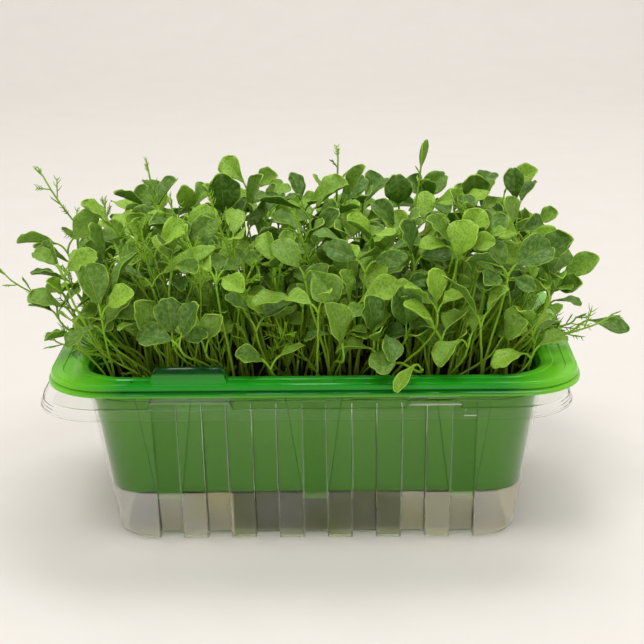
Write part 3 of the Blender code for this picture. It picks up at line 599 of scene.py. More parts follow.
def plan_fill(crowd, places, load, rng, plan):
    """Seedlings that fill the rest of the tray by rule."""
    made = 0
    for _ in range(FILL_SEEDLINGS * 6):
        if made >= FILL_SEEDLINGS:
            break
        emptiest = min(load)
        plug = rng.choice([n for n in range(len(places)) if load[n] == emptiest])
        root = root_in_plug(places[plug], load[plug])
        x = root[0] * rng.uniform(1.0, 1.25) + rng.uniform(-7, 7)
        y = root[1] * rng.uniform(1.0, 1.3) + rng.uniform(-6, 6)
        apex = Vector((x, y, rng.uniform(90, 112) - 16 * max(edge_of(x, y) - 0.55, 0.0)))
        name = len(plan)
        stem = try_stem(crowd, name, root, apex, rng)
        if stem is None:
            continue
        for _ in range(TRIES):
            heading = math.atan2(y, x) + rng.uniform(-1.6, 1.6)
            out = pointing(heading, rng.uniform(-0.15, 1.1))
            length = rng.uniform(*LEAF_LENGTH)
            leaf = grown_leaf(apex, out, length, length * rng.uniform(*LEAF_BROAD), rng)
            seedling = {"id": name, "plug": plug, "stem": stem, "parts": [leaf]}
            if not inside_reach(leaf) or crosses_itself(seedling_mesh(seedling)):
                continue
            if crowd.clear((name,), leaf_mesh(leaf, GAP)):
                keep(crowd, seedling, load, plan)
                made += 1
                break


def add_partners(crowd, rng, plan):
    """Give each kale seedling its second leaf where there is room."""
    for seedling in plan:
        first = seedling["parts"][0] if seedling["parts"] else None
        if first is None or first["kind"] != "leaf":
            continue
        leaf = second_leaf(crowd, seedling, first, rng)
        if leaf:
            seedling["parts"].append(leaf)
            crowd.add(seedling["id"], leaf_mesh(leaf))


def piece_mesh(piece):
    """The test mesh of a leaf or of a leaflet."""
    return leaf_mesh(piece) if piece["kind"] == "leaf" else needle_mesh(piece)


def rim_guard():
    """Walls that the plants keep clear of: the green tray's inside and rim, up to its latch block."""
    rings = []
    for z, size in ((52.0, (80.0, 48.2)), (67.7, (82.3, 50.7)), (69.0, (83.4, 51.8)), (69.0, (94.6, 61.2)),
                    (64.0, (96.0, 62.6))):
        rings.append([(x, y, z) for x, y in outline(size[0], size[1], 17.0, [])])
    points, faces = loft(rings)
    return points, faces[:-1]


def plan_plants():
    """Decide where every stem and leaf goes, the same way every time."""
    rng = random.Random(SEED)
    places = plug_places(rng)
    load = [0] * len(places)
    crowd = Crowd()
    crowd.add("rim", rim_guard())
    (x0, x1), (y0, y1), top = GREEN_BOSS
    crowd.add("rim", ([(x, y, z) for z in (68.0, top + 0.3) for x, y in
                       ((x0 - 1, y0 - 1), (x1 + 1, y0 - 1), (x1 + 1, y1 + 1), (x0 - 1, y1 + 1))],
                      [(0, 1, 2, 3), (4, 5, 6, 7), (0, 1, 5, 4), (1, 2, 6, 5), (2, 3, 7, 6), (3, 0, 4, 7)]))
    plan = []
    plan_placed(crowd, places, load, rng, plan)
    plan_feathery(crowd, places, load, rng, plan)
    plan_fill(crowd, places, load, rng, plan)
    add_partners(crowd, rng, plan)
    return places, plan


# Seedlings that only the scene has: how many, how long their leaves are, and how high the leaves may reach.
EXTRA_SEED = 97
EXTRA_SEEDLINGS = 215
EXTRA_LENGTH = (7.5, 14.0)
EXTRA_TOP = 124.0
EXTRA_ROOTS = (76, 44)
EXTRA_GAP = 0.05
# Thin stems: how many, how high their tips are, how far they may lean out, and their seed.
FEATHERY_THREADS = (70, (84, 124), (100, 46), 31)
LOOSE_THREADS = (20, (72, 104), (78, 46), 32)
LEAFY_PART = (14, 26)

# How finely stems and blades are made.
STEM_RINGS = 14
STEM_ROUND = 6
FINE_STEPS = 60
BLADE_ALONG = 12
BLADE_ACROSS = 8
BLADE_SHEET = 0.4

# How wide a blade is at these shares of its length, as shares of its full width: spoon shaped, or rounder.
BLADE_SPOTS = (0, 0.06, 0.16, 0.3, 0.44, 0.58, 0.72, 0.84, 0.93, 1.0)
SPOON_WIDTHS = (0.09, 0.13, 0.24, 0.46, 0.7, 0.9, 1.0, 0.98, 0.88, 0.7)
ROUND_WIDTHS = (0.1, 0.22, 0.52, 0.83, 0.98, 1.0, 0.96, 0.86, 0.72, 0.54)

# A stem that ends above this height is the bare one, which bears two buds and one narrow leaf of this length.
TALLEST = 134.0
SPRIG_LEAF = 9.5

# Material numbers of a plant's mesh; the underside's material is a copy of the top's in painted shade.
LEAF_TOP, SHADED_UNDERSIDE, STEM, FEATHER = range(4)

# The solids' box, a little smaller.
BOX_LOW = [v / MM + 0.3 for v in CAD_BOX[0]]
BOX_HIGH = [v / MM - 0.3 for v in CAD_BOX[1]]


def way_back(points):
    """How far a set of points must move to lie inside the solids' box."""
    points = np.asarray(points).reshape(-1, 3)
    low = np.maximum(np.array(BOX_LOW) - points.min(axis=0), 0)
    high = np.minimum(np.array(BOX_HIGH) - points.max(axis=0), 0)
    return low + high


def away_from(leaf):
    """The heading opposite to a leaf's."""
    axis = leaf["tip"] - leaf["neck"]
    return math.atan2(axis.y, axis.x) + math.pi


def grown_crowd(plan):
    """The seedlings of the solids and the rim, for the others to keep clear of."""
    crowd = Crowd()
    crowd.add("rim", rim_guard())
    for seedling in plan:
        crowd.add_seedling(seedling)
    return crowd


def small_leaves(crowd, seedling, rng):
    """One to four leaves on an extra seedling's stem, each clear of the other seedlings.

    The first two are also clear of each other, but a third or fourth one can cross them.
    """
    apex = seedling["stem"]["apex"]
    parts = seedling["parts"]
    wanted = rng.choice((2, 3, 4, 4))
    for _ in range(TRIES * 3):
        heading = math.atan2(apex.y, apex.x) + rng.uniform(-2.4, 2.4)
        if parts:
            heading = away_from(parts[0]) + (len(parts) - 1) * math.pi / 2 + rng.uniform(-0.7, 0.7)
        out = pointing(heading, rng.uniform(-0.35, 0.95))
        length = rng.uniform(*EXTRA_LENGTH)
        leaf = grown_leaf(apex, out, length, length * rng.uniform(*LEAF_BROAD), rng)
        if not inside_reach(leaf) or leaf["tip"].z > EXTRA_TOP:
            continue
        if not crowd.clear((seedling["id"],), leaf_mesh(leaf, EXTRA_GAP)):
            continue
        parts.append(leaf)
        if len(parts) > 1 and crosses_itself(seedling_mesh(seedling)):
            parts.pop()
        elif len(parts) == wanted:
            return


def plan_extra(crowd):
    """More seedlings between those of the solids, kept clear of them by the same rule with a smaller gap."""
    rng = random.Random(EXTRA_SEED)
    extra = []
    for attempt in range(EXTRA_SEEDLINGS * 6):
        if len(extra) >= EXTRA_SEEDLINGS:
            break
        root = (rng.uniform(-EXTRA_ROOTS[0], EXTRA_ROOTS[0]), rng.uniform(-EXTRA_ROOTS[1], EXTRA_ROOTS[1]))
        spread = rng.uniform(1.0, 1.25)
        x = root[0] * spread + rng.uniform(-8, 8)
        y = root[1] * spread + rng.uniform(-7, 7)
        apex = Vector((x, y, rng.uniform(76, 111) - 18 * max(edge_of(x, y) - 0.55, 0.0)))
        name = "extra_%d" % attempt
        stem = try_stem(crowd, name, root, apex, rng)
        if stem is None:
            continue
        seedling = {"id": name, "stem": stem, "parts": []}
        small_leaves(crowd, seedling, rng)
        if seedling["parts"]:
            crowd.add_seedling(seedling)
            extra.append(seedling)
    return extra


def plan_threads(crowd, count, heights, reach, seed):
    """Thin stems among the others, clear of them; the leaflets of the feathery ones aren't tested."""
    rng = random.Random(seed)
    found = []
    for attempt in range(count * 9):
        if len(found) >= count:
            break
        root = (rng.uniform(-76, 76), rng.uniform(-45, 40))
        x = root[0] * 1.15 + rng.gauss(0, 16)
        y = root[1] * 1.1 + rng.gauss(0, 10)
        apex = Vector((x, y, rng.uniform(*heights)))
        apex.z = max(apex.z - 60 * max(edge_of(apex.x, apex.y) - 0.7, 0.0), 72.0)
        if abs(apex.x) > reach[0] or abs(apex.y) > reach[1]:
            continue
        name = "thread_%d_%d" % (seed, attempt)
        stem = try_stem(crowd, name, root, apex, rng)
        if stem is None:
            continue
        seedling = {"id": name, "stem": stem, "parts": [], "leafy": rng.uniform(*LEAFY_PART)}
        crowd.add_seedling(seedling)
        found.append(seedling)
    return found


# Meshes with attributes.
class Shape:
    """Points, faces, material numbers and a mark per point, gathered for one mesh."""

    def __init__(self):
        self.points = []
        self.faces = []
        self.slots = []
        self.marks = []
        self.count = 0
        self.paths = []

    def add(self, points, faces, slots, marks):
        self.points.append(np.asarray(points, float).reshape(-1, 3))
        self.faces += [tuple(i + self.count for i in face) for face in faces]
        self.slots += slots
        self.marks.append(np.asarray(marks, float).reshape(-1, 4))
        self.count += len(self.points[-1])

    def thread(self, path, radii, slot, marks):
        """Keep a path to be swept into a tube later."""
        self.paths.append((path, radii, slot, marks))

    def sweep(self, tree):
        """Turn the kept paths into tubes with the tube tree and add them."""
        for slot in sorted({item[2] for item in self.paths}):
            own = [item for item in self.paths if item[2] == slot]
            points = [tuple(Vector(p) * MM) for path, _, _, _ in own for p in path]
            radii = [r * MM for _, path_radii, _, _ in own for r in path_radii]
            marks = [m for _, _, _, path_marks in own for m in path_marks]
            edges = []
            start = 0
            for path, _, _, _ in own:
                edges += [(start + i, start + i + 1) for i in range(len(path) - 1)]
                start += len(path)
            mesh = bpy.data.meshes.new("paths")
            mesh.from_pydata(points, edges, [])
            mesh.attributes.new("thick", "FLOAT", "POINT").data.foreach_set("value", radii)
            mesh.attributes.new("mark", "FLOAT_COLOR", "POINT").data.foreach_set("color", np.ravel(marks))
            made = run_tree(mesh, tree)
            count = len(made.vertices)
            spots = np.zeros(count * 3)
            made.vertices.foreach_get("co", spots)
            colours = np.zeros(count * 4)
            made.attributes["mark"].data.foreach_get("color", colours)
            faces = [tuple(p.vertices) for p in made.polygons]
            self.add(spots / MM, faces, [slot] * len(faces), colours)
            bpy.data.meshes.remove(made)
        self.paths = []

    def make(self, name, mats):
        mesh = bpy.data.meshes.new(name)
        mesh.from_pydata((np.concatenate(self.points) * MM).tolist(), [], self.faces)
        for mat in mats:
            mesh.materials.append(mat)
        mesh.polygons.foreach_set("material_index", self.slots)
        marks = mesh.attributes.new("mark", "FLOAT_COLOR", "POINT")
        marks.data.foreach_set("color", np.concatenate(self.marks).ravel())
        mesh.polygons.foreach_set("use_smooth", [True] * len(self.faces))
        mesh.update()
        return put_in_scene(name, mesh)


def put_in_scene(name, data):
    """A new object for a mesh, a camera or a light."""
    thing = bpy.data.objects.new(name, data)
    bpy.context.scene.collection.objects.link(thing)
    return thing


def run_tree(mesh, tree, **values):
    """Run a geometry nodes tree on a mesh and return the result as a plain mesh."""
    holder = put_in_scene("holder", mesh)
    mod = holder.modifiers.new("tree", "NODES")
    mod.node_group = tree
    for item in tree.interface.items_tree:
        if item.item_type == "SOCKET" and item.in_out == "INPUT" and item.name in values:
            mod[item.identifier] = values[item.name]
    graph = bpy.context.evaluated_depsgraph_get()
    made = bpy.data.meshes.new_from_object(holder.evaluated_get(graph))
    bpy.data.objects.remove(holder, do_unlink=True)
    bpy.data.meshes.remove(mesh)
    return made


def tree_with(name, inputs):
    """A geometry nodes group with a geometry input and output and named values."""
    tree = bpy.data.node_groups.new(name, "GeometryNodeTree")
    tree.interface.new_socket("Geometry", in_out="INPUT", socket_type="NodeSocketGeometry")
    for label, kind, value in inputs:
        made = tree.interface.new_socket(label, in_out="INPUT", socket_type=kind)
        made.default_value = value
    tree.interface.new_socket("Geometry", in_out="OUTPUT", socket_type="NodeSocketGeometry")
    return tree, tree.nodes.new("NodeGroupInput"), tree.nodes.new("NodeGroupOutput")


def finish_tree(tree, source, end, mat):
    """Close a tree: instances made real, then the material."""
    real = tree.nodes.new("GeometryNodeRealizeInstances")
    paint = tree.nodes.new("GeometryNodeSetMaterial")
    paint.inputs["Material"].default_value = mat
    tree.links.new(source, real.inputs["Geometry"])
    tree.links.new(real.outputs["Geometry"], paint.inputs["Geometry"])
    tree.links.new(paint.outputs["Geometry"], end.inputs["Geometry"])


def tube_tree(mat):
    """Geometry nodes: each path of edges becomes a round tube as thick as its points say."""
    tree, start, end = tree_with("tubes_along_paths", (("Sides", "NodeSocketInt", STEM_ROUND),))
    nodes, links = tree.nodes, tree.links
    curve = nodes.new("GeometryNodeMeshToCurve")
    links.new(start.outputs["Geometry"], curve.inputs["Mesh"])
    thick = nodes.new("GeometryNodeInputNamedAttribute")
    thick.data_type = "FLOAT"
    thick.inputs["Name"].default_value = "thick"
    circle = nodes.new("GeometryNodeCurvePrimitiveCircle")
    circle.inputs["Radius"].default_value = 1.0
    links.new(start.outputs["Sides"], circle.inputs["Resolution"])
    tube_mesh = nodes.new("GeometryNodeCurveToMesh")
    tube_mesh.inputs["Fill Caps"].default_value = True
    links.new(curve.outputs["Curve"], tube_mesh.inputs["Curve"])
    links.new(thick.outputs["Attribute"], tube_mesh.inputs["Scale"])
    links.new(circle.outputs["Curve"], tube_mesh.inputs["Profile Curve"])
    finish_tree(tree, tube_mesh.outputs["Mesh"], end, mat)
    return tree


def blade_grid(leaf, rng):
    """Fine points of a blade: rows from neck to tip, columns from side to side.

    It is cupped and waved more than the plain blade that the planting rule tests.
    """
    neck, side = leaf["neck"], leaf["side"]
    axis = leaf["tip"] - neck
    length = axis.length
    axis = axis.normalized()
    normal = axis.cross(side).normalized()
    a = np.linspace(0, 1, BLADE_ALONG + 1)[:, None]
    s = np.linspace(-1, 1, BLADE_ACROSS + 1)[None, :]
    share = rng.random()
    broad = (share * np.interp(a, BLADE_SPOTS, SPOON_WIDTHS)
             + (1 - share) * np.interp(a, BLADE_SPOTS, ROUND_WIDTHS))
    skew = rng.uniform(-0.08, 0.08)
    notch = rng.uniform(-0.02, 0.09)
    end = 1.0 - 0.14 * np.abs(s) ** 2.2 - notch * np.exp(-(s / 0.28) ** 2)
    along = length * a * (1 + (end - 1) * a ** 2.5) * (1.0 + 0.5 * notch)
    width = 0.5 * leaf["wide"] * broad * s * (1 + skew * np.sign(s))
    rise = np.clip((a - 0.05) / 0.4, 0, 1)
    fold = rng.choice((0.0, 0.0, 0.08, 0.2)) * leaf["wide"]
    lift = 1.3 * leaf["cup"] * leaf["wide"] * rise * np.abs(s) ** 1.6 + fold * rise * np.abs(s)
    lift = lift + 4 * leaf["arch"] * length * a * (1 - a)
    phase = rng.uniform(0, math.tau)
    waves = rng.uniform(1.2, 2.6)
    lift = lift + 0.04 * leaf["wide"] * np.abs(s) ** 2 * np.sin(waves * math.tau * a + phase + 1.4 * s)
    lift = lift - 0.2 * np.exp(-(s / 0.13) ** 2) * np.sqrt(np.clip(a * (1 - a) * 4, 0, 1))
    lift = lift - rng.uniform(-0.05, 0.11) * length * a ** 3
    grid = (np.array(neck) + along[..., None] * np.array(axis) + (width + 0 * a)[..., None] * np.array(side)
            + (lift + 0 * s)[..., None] * np.array(normal))
    return grid, a, s


def add_blade(shape, leaf, tone, rng):
    """A thin closed blade: its top, its underside and the rim between them."""
    grid, a, s = blade_grid(leaf, rng)
    grid = grid + way_back(grid)
    rows, columns = grid.shape[:2]
    normals = np.cross(np.gradient(grid, axis=0), np.gradient(grid, axis=1))
    normals /= np.linalg.norm(normals, axis=2)[..., None]
    thin = (0.5 * BLADE_SHEET * (1 - 0.55 * np.abs(s) ** 3) + 0 * a)[..., None]
    marks = np.zeros((rows, columns, 4))
    marks[..., 0] = a
    marks[..., 1] = 0.5 + 0.5 * s
    marks[..., 2] = tone
    marks[..., 3] = 1.0
    count = rows * columns
    faces = []
    slots = []
    for i in range(rows - 1):
        for j in range(columns - 1):
            k = i * columns + j
            quad = (k, k + columns, k + columns + 1, k + 1)
            faces += [quad, tuple(q + count for q in reversed(quad))]
            slots += [LEAF_TOP, SHADED_UNDERSIDE]
    rim = list(range(columns)) + [i * columns + columns - 1 for i in range(1, rows)]
    rim += [(rows - 1) * columns + j for j in range(columns - 2, -1, -1)]
    rim += [i * columns for i in range(rows - 2, 0, -1)]
    for index, k in enumerate(rim):
        after = rim[(index + 1) % len(rim)]
        faces.append((k, after, after + count, k + count))
        slots.append(LEAF_TOP)
    points = np.concatenate([(grid + normals * thin).reshape(-1, 3), (grid - normals * thin).reshape(-1, 3)])
    shape.add(points, faces, slots, np.concatenate([marks.reshape(-1, 4)] * 2))
    return grid[:, columns // 2]


def add_rib(shape, middle, leaf, tone):
    """The pale middle rib under a blade."""
    normal = np.array((leaf["tip"] - leaf["neck"]).cross(leaf["side"]).normalized())
    steps = int(len(middle) * 0.75)
    path = [tuple(p - normal * 0.2) for p in middle[:steps]]
    radii = [0.34 * (1 - 0.85 * i / steps) for i in range(steps)]
    shape.thread(path, radii, STEM, [(0.9, 0.5, tone, 0.5)] * steps)


def add_stem(shape, seedling, tone, rng, slot=STEM, thin=1.0):
    """A stem as a path with a slight wobble."""
    stem = seedling["stem"]
    path = stem_path(stem["root"], stem["apex"], stem["arrive"], STEM_RINGS)
    last = len(path) - 1
    path = [p + Vector((rng.gauss(0, 0.1), rng.gauss(0, 0.1), 0)) * (1.0 if 1 < i < last else 0.0)
            for i, p in enumerate(path)]
    path[-1] = path[-1] + (path[-1] - path[-2]).normalized() * 0.3
    thick = rng.uniform(0.85, 1.1) * thin
    radii = [thick * (0.52 - 0.12 * i / last) for i in range(last + 1)]
    shape.thread(path, radii, slot, [(i / last, 0.0, tone, 1.0) for i in range(last + 1)])


def add_stalk(shape, seedling, leaf, tone):
    """The stalk from the stem's end into the blade."""
    stem = seedling["stem"]
    apex, neck = stem["apex"], leaf["neck"]
    reach = (neck - apex).length
    axis = (leaf["tip"] - leaf["neck"]).normalized()
    start = apex - stem["arrive"] * 0.8
    path = bezier(start, start + (stem["arrive"] + (neck - apex).normalized()) * 0.22 * reach,
                  neck - axis * 0.35 * reach, neck + axis * 0.9, 8)
    radii = [0.42 - 0.1 * i / 8 for i in range(9)]
    shape.thread(path, radii, STEM, [(1.0, 0.0, tone, 1.0)] * 9)


def add_kale(shape, seedling, rng):
    """A stem with its leaves, each with a tone between the seedling's and one of its own."""
    tone = rng.random()
    add_stem(shape, seedling, tone, rng)
    for leaf in seedling["parts"]:
        add_stalk(shape, seedling, leaf, tone)
        middle = add_blade(shape, leaf, 0.4 * tone + 0.6 * rng.random(), rng)
        add_rib(shape, middle, leaf, tone)


def add_feather(shape, seedling, leafy, rng, thin=0.8):
    """A feathery seedling: narrow leaflets with short lobes, one after another up its stem."""
    tone = rng.random() * 0.7
    add_stem(shape, seedling, tone, rng, slot=FEATHER, thin=thin)
    stem = seedling["stem"]
    fine = stem_path(stem["root"], stem["apex"], stem["arrive"], FINE_STEPS)
    total = max(stem["apex"].z - SOIL_Z, leafy)
    ahead = (fine[-1] - fine[36]).normalized()
    side, other = across(ahead)
    fronds = 9
    for number in range(fronds):
        part = (number + rng.uniform(0.1, 0.6)) / fronds
        spot = fine[FINE_STEPS - int(FINE_STEPS * leafy / total * part)]
        turn = 2.4 * number + rng.uniform(-0.6, 0.6)
        out = side * math.cos(turn) + other * math.sin(turn)
        way = (out * rng.uniform(0.5, 1.0) + ahead * rng.uniform(0.5, 0.9)).normalized()
        add_frond(shape, spot, way, ahead, rng.uniform(4.5, 9.0), tone, rng)
    add_frond(shape, fine[-1], ahead, side, rng.uniform(3.5, 6.0), tone, rng)


def add_frond(shape, start, way, bend, length, tone, rng):
    """One leaflet: a bent thread with a few short side threads."""
    end = start + (way + bend * rng.uniform(-0.1, 0.45)).normalized() * length
    end = end + Vector(way_back([tuple(end)]) * 1.5)
    path = bezier(start, start + way * 0.35 * length, start.lerp(end, 0.7) + bend * 0.05 * length, end, 6)
    radii = [0.22, 0.24, 0.26, 0.27, 0.26, 0.2, 0.07]
    shape.thread(path, radii, FEATHER, [(0.8, 0.0, tone, 1.0)] * 7)
    side, other = across(way)
    turn = rng.uniform(0, math.pi)
    flat = side * math.cos(turn) + other * math.sin(turn)
    for step in (2, 3, 4, 5):
        for hand in (1, -1):
            if rng.random() < 0.25:
                continue
            lobe = rng.uniform(0.18, 0.36) * length
            lean = (way + flat * 0.9 * hand).normalized()
            tip = path[step] + lean * lobe + way * 0.2 * lobe
            mid = path[step] + lean * 0.55 * lobe
            shape.thread([path[step], mid, tip], [0.17, 0.18, 0.06], FEATHER, [(1.0, 0.0, tone, 1.0)] * 3)


def add_sprig(shape, seedling, rng):
    """The tallest seedling: a bare stem with two buds and one narrow leaf folded along its middle."""
    add_stem(shape, seedling, 0.3, rng, slot=FEATHER, thin=0.85)
    stem = seedling["stem"]
    fine = stem_path(stem["root"], stem["apex"], stem["arrive"], FINE_STEPS)
    top = fine[-1]
    near = min(fine, key=lambda p: abs((top - p).length - SPRIG_LEAF))
    ahead = (top - near).normalized()
    side = Vector((1, 0, 0)) - ahead * ahead.x
    leaf = {"neck": near, "tip": top + Vector((1.6, 0, 2.0)), "side": side.normalized(), "wide": 3.0,
            "cup": 0.45, "arch": 0.03}
    add_blade(shape, leaf, 0.7, rng)
    for turn, down in ((2.6, 2.0), (0.4, 7.0)):
        out = Vector((math.cos(turn), -math.sin(turn), 0.9)).normalized()
        add_frond(shape, near - ahead * down, out, ahead, 3.5, 0.3, rng)


# Materials.
def shader_of(name):
    """A new material with its node tree and its shader."""
    mat = bpy.data.materials.new(name)
    mat.use_nodes = True
    return mat, mat.node_tree, mat.node_tree.nodes["Principled BSDF"]


def ramp(tree, source, stops):
    """Colours that change along a value, given as (value, colour)."""
    made = tree.nodes.new("ShaderNodeValToRGB")
    line = made.color_ramp
    while len(line.elements) < len(stops):
        line.elements.new(0.5)
    for element, (place, colour) in zip(line.elements, stops):
        element.position = place
        element.color = (*colour, 1.0)
    tree.links.new(source, made.inputs["Fac"])
    return made.outputs["Color"]


def feed(tree, target, value):
    """Link a socket to an input, or set the input to a number or a colour."""
    if isinstance(value, bpy.types.NodeSocket):
        tree.links.new(value, target)
    elif isinstance(value, (int, float)):
        target.default_value = value
    else:
        target.default_value = (*value, 1.0)


def mix(tree, fac, first, second):
    """The first colour, or the second one where fac is 1."""
    made = tree.nodes.new("ShaderNodeMix")
    made.data_type = "RGBA"
    for key, value in (("Factor", fac), ("A", first), ("B", second)):
        fitting = [i for i in made.inputs if i.name == key and (i.type == "RGBA" or key == "Factor")]
        feed(tree, fitting[0], value)
    return [o for o in made.outputs if o.type == "RGBA"][0]


def maths(tree, operation, first, second=None, clamp=False):
    made = tree.nodes.new("ShaderNodeMath")
    made.operation = operation
    made.use_clamp = clamp
    for target, value in zip(made.inputs, (first, second)):
        if value is not None:
            feed(tree, target, value)
    return made.outputs[0]


def times(tree, first, second):
    return maths(tree, "MULTIPLY", first, second)


def rising(tree, value, start, rate):
    """0 up to the start, then up to 1 at this rate."""
    return maths(tree, "MULTIPLY", maths(tree, "SUBTRACT", value, start), rate, clamp=True)


def falling(tree, value, rate):
    """1 at nothing, then down to 0 at this rate."""
    return maths(tree, "SUBTRACT", 1.0, times(tree, value, rate), clamp=True)


def from_base(tree, value, share, base):
    """A base value with a share of another value on top."""
    return maths(tree, "ADD", times(tree, value, share), base)


def noise(tree, scale, detail=3.0, rough=0.5):
    made = tree.nodes.new("ShaderNodeTexNoise")
    made.inputs["Scale"].default_value = scale
    made.inputs["Detail"].default_value = detail
    made.inputs["Roughness"].default_value = rough
    place = tree.nodes.new("ShaderNodeTexCoord")
    tree.links.new(place.outputs["Object"], made.inputs["Vector"])
    return made.outputs["Fac"]


def position(tree, axis):
    """Where a point is along X, Y or Z, in metres from the origin."""
    place = tree.nodes.new("ShaderNodeTexCoord")
    parts = tree.nodes.new("ShaderNodeSeparateXYZ")
    tree.links.new(place.outputs["Object"], parts.inputs["Vector"])
    return parts.outputs[axis]


def dress(tree, shader, colour, rough, specular=0.5):
    """Give a shader its colour, its roughness and its shine."""
    tree.links.new(colour, shader.inputs["Base Color"])
    tree.links.new(rough, shader.inputs["Roughness"])
    shader.inputs["Specular IOR Level"].default_value = specular


def soften(shader, weight, radius, scale):
    """Let light spread inside a leaf or a tinted sheet."""
    shader.inputs["Subsurface Weight"].default_value = weight
    shader.inputs["Subsurface Radius"].default_value = radius
    shader.inputs["Subsurface Scale"].default_value = scale


def bump(tree, shader, height, strength, distance):
    made = tree.nodes.new("ShaderNodeBump")
    made.inputs["Strength"].default_value = strength
    made.inputs["Distance"].default_value = distance
    tree.links.new(height, made.inputs["Height"])
    tree.links.new(made.outputs["Normal"], shader.inputs["Normal"])


def marks_of(tree):
    """The mark's parts: how far along, how far across, and the seedling's tone."""
    made = tree.nodes.new("ShaderNodeAttribute")
    made.attribute_name = "mark"
    parts = tree.nodes.new("ShaderNodeSeparateColor")
    tree.links.new(made.outputs["Color"], parts.inputs["Color"])
    return parts.outputs[0], parts.outputs[1], parts.outputs[2]


def mottle_group():
    """Shader node group: small light and dark patches, shared by all that is green and grown."""
    group = bpy.data.node_groups.new("mottle", "ShaderNodeTree")
    scale_input = group.interface.new_socket("Scale", in_out="INPUT", socket_type="NodeSocketFloat")
    scale_input.default_value = 300.0
    group.interface.new_socket("Patch", in_out="OUTPUT", socket_type="NodeSocketFloat")
    group.interface.new_socket("Grain", in_out="OUTPUT", socket_type="NodeSocketFloat")
    start = group.nodes.new("NodeGroupInput")
    end = group.nodes.new("NodeGroupOutput")
    place = group.nodes.new("ShaderNodeTexCoord")
    for label, finer in (("Patch", 1.0), ("Grain", 2.2)):
        cloud = group.nodes.new("ShaderNodeTexNoise")
        cloud.inputs["Detail"].default_value = 4.0
        group.links.new(place.outputs["Object"], cloud.inputs["Vector"])
        group.links.new(times(group, start.outputs["Scale"], finer), cloud.inputs["Scale"])
        group.links.new(cloud.outputs["Fac"], end.inputs[label])
    return group


def mottled(tree, group, scale):
    made = tree.nodes.new("ShaderNodeGroup")
    made.node_tree = group
    made.inputs["Scale"].default_value = scale
    return made.outputs["Patch"], made.outputs["Grain"]


def darker(colour, share):
    return tuple(share * c for c in colour)


def leaf_ground(tree, tone, patch, grain, dark, light, pale):
    """A leaf's green: darker or lighter by seedling, with soft pale patches of painted sheen and fine dark
    specks.
    """
    between = tuple(0.5 * (a + b) for a, b in zip(dark, light))
    ground = ramp(tree, tone, ((0.30, dark), (0.5, between), (0.72, light)))
    # Soft pale patches: painted sheen.
    ground = mix(tree, times(tree, rising(tree, patch, 0.40, 2.2), 0.4), ground, pale)
    return mix(tree, times(tree, rising(tree, grain, 0.47, 3.2), 0.78), ground, darker(dark, 0.8))


def leaf_veins(tree, along, off):
    """The middle vein, which fades toward the tip, and side veins that run forward and outward from it."""
    middle = times(tree, falling(tree, off, 38.0), falling(tree, along, 0.75))
    slant = maths(tree, "SUBTRACT", times(tree, along, 5.5), times(tree, off, 5.0))
    wave = maths(tree, "ABSOLUTE", maths(tree, "SUBTRACT", maths(tree, "FRACT", slant), 0.5))
    side_vein = times(tree, falling(tree, wave, 14.0), maths(tree, "LESS_THAN", off, 0.42))
    return maths(tree, "MAXIMUM", times(tree, middle, 0.55), times(tree, side_vein, 0.12))


def leaf_material(name, group, dark, light, pale, vein, edge, rough):
    """A mottled leaf with painted sheen, veins and a thin bright margin."""
    mat, tree, shader = shader_of(name)
    along, sideways, tone = marks_of(tree)
    off = maths(tree, "ABSOLUTE", maths(tree, "SUBTRACT", sideways, 0.5))
    patch, grain = mottled(tree, group, 680.0)
    veins = leaf_veins(tree, along, off)
    colour = mix(tree, veins, leaf_ground(tree, tone, patch, grain, dark, light, pale), vein)
    margin = maths(tree, "MAXIMUM", rising(tree, off, 0.472, 40.0), rising(tree, along, 0.972, 40.0))
    colour = mix(tree, times(tree, margin, 0.7), colour, edge)
    dress(tree, shader, colour, from_base(tree, grain, 0.25, rough), 0.34)
    soften(shader, 0.12, (0.6, 1.0, 0.15), 0.0012)
    bump(tree, shader, maths(tree, "SUBTRACT", times(tree, grain, 0.7), veins), 0.6, 0.0005)
    return mat


def stem_material(name, group, low, middle, high):
    """A stem whose colour changes on its way up; some are brownish."""
    mat, tree, shader = shader_of(name)
    along, _, tone = marks_of(tree)
    colour = ramp(tree, along, ((0.0, low), (0.4, middle), (1.0, high)))
    colour = mix(tree, rising(tree, tone, 0.8, 2.2), colour, (0.30, 0.25, 0.02))
    patch, grain = mottled(tree, group, 420.0)
    colour = mix(tree, times(tree, patch, 0.45), colour, darker(middle, 0.5))
    dress(tree, shader, colour, from_base(tree, grain, 0.2, 0.34), 0.3)
    soften(shader, 0.3, (0.7, 1.0, 0.15), 0.0008)
    bump(tree, shader, patch, 0.2, 0.0002)
    return mat


def rim_colour_and_painted_light(tree, level, rim):
    """The green rim with painted light: stripes of painted highlight and painted shade one above another,
    painted light that makes it brighter at the tray's ends, and painted shade that makes it darker on the
    latch box.
    """
    share = maths(tree, "DIVIDE", maths(tree, "SUBTRACT", level, 0.064), 0.005, clamp=True)
    # Stripes across the rim's height: painted highlights and painted shade.
    painted_bands = ramp(tree, share, ((0.1, (0.13, 0.46, 0.012)), (0.26, darker(rim, 0.75)),
                               (0.36, darker(rim, 0.42)), (0.56, darker(rim, 0.5)), (0.66, rim),
                               (0.84, darker(rim, 0.8)), (0.9, rim)))
    # Painted light: brighter toward the tray's ends.
    end = rising(tree, maths(tree, "ABSOLUTE", position(tree, "X")), 0.066, 45.0)
    painted_bands = mix(tree, times(tree, end, 0.85), painted_bands, (0.24, 0.72, 0.016))
    # Painted shade: darker on the latch box, darkest on its top.
    painted_bands = mix(tree, rising(tree, level, 0.0693, 700.0), painted_bands, (0.015, 0.235, 0.010))
    return mix(tree, rising(tree, level, 0.0716, 1500.0), painted_bands, (0.001, 0.045, 0.008))


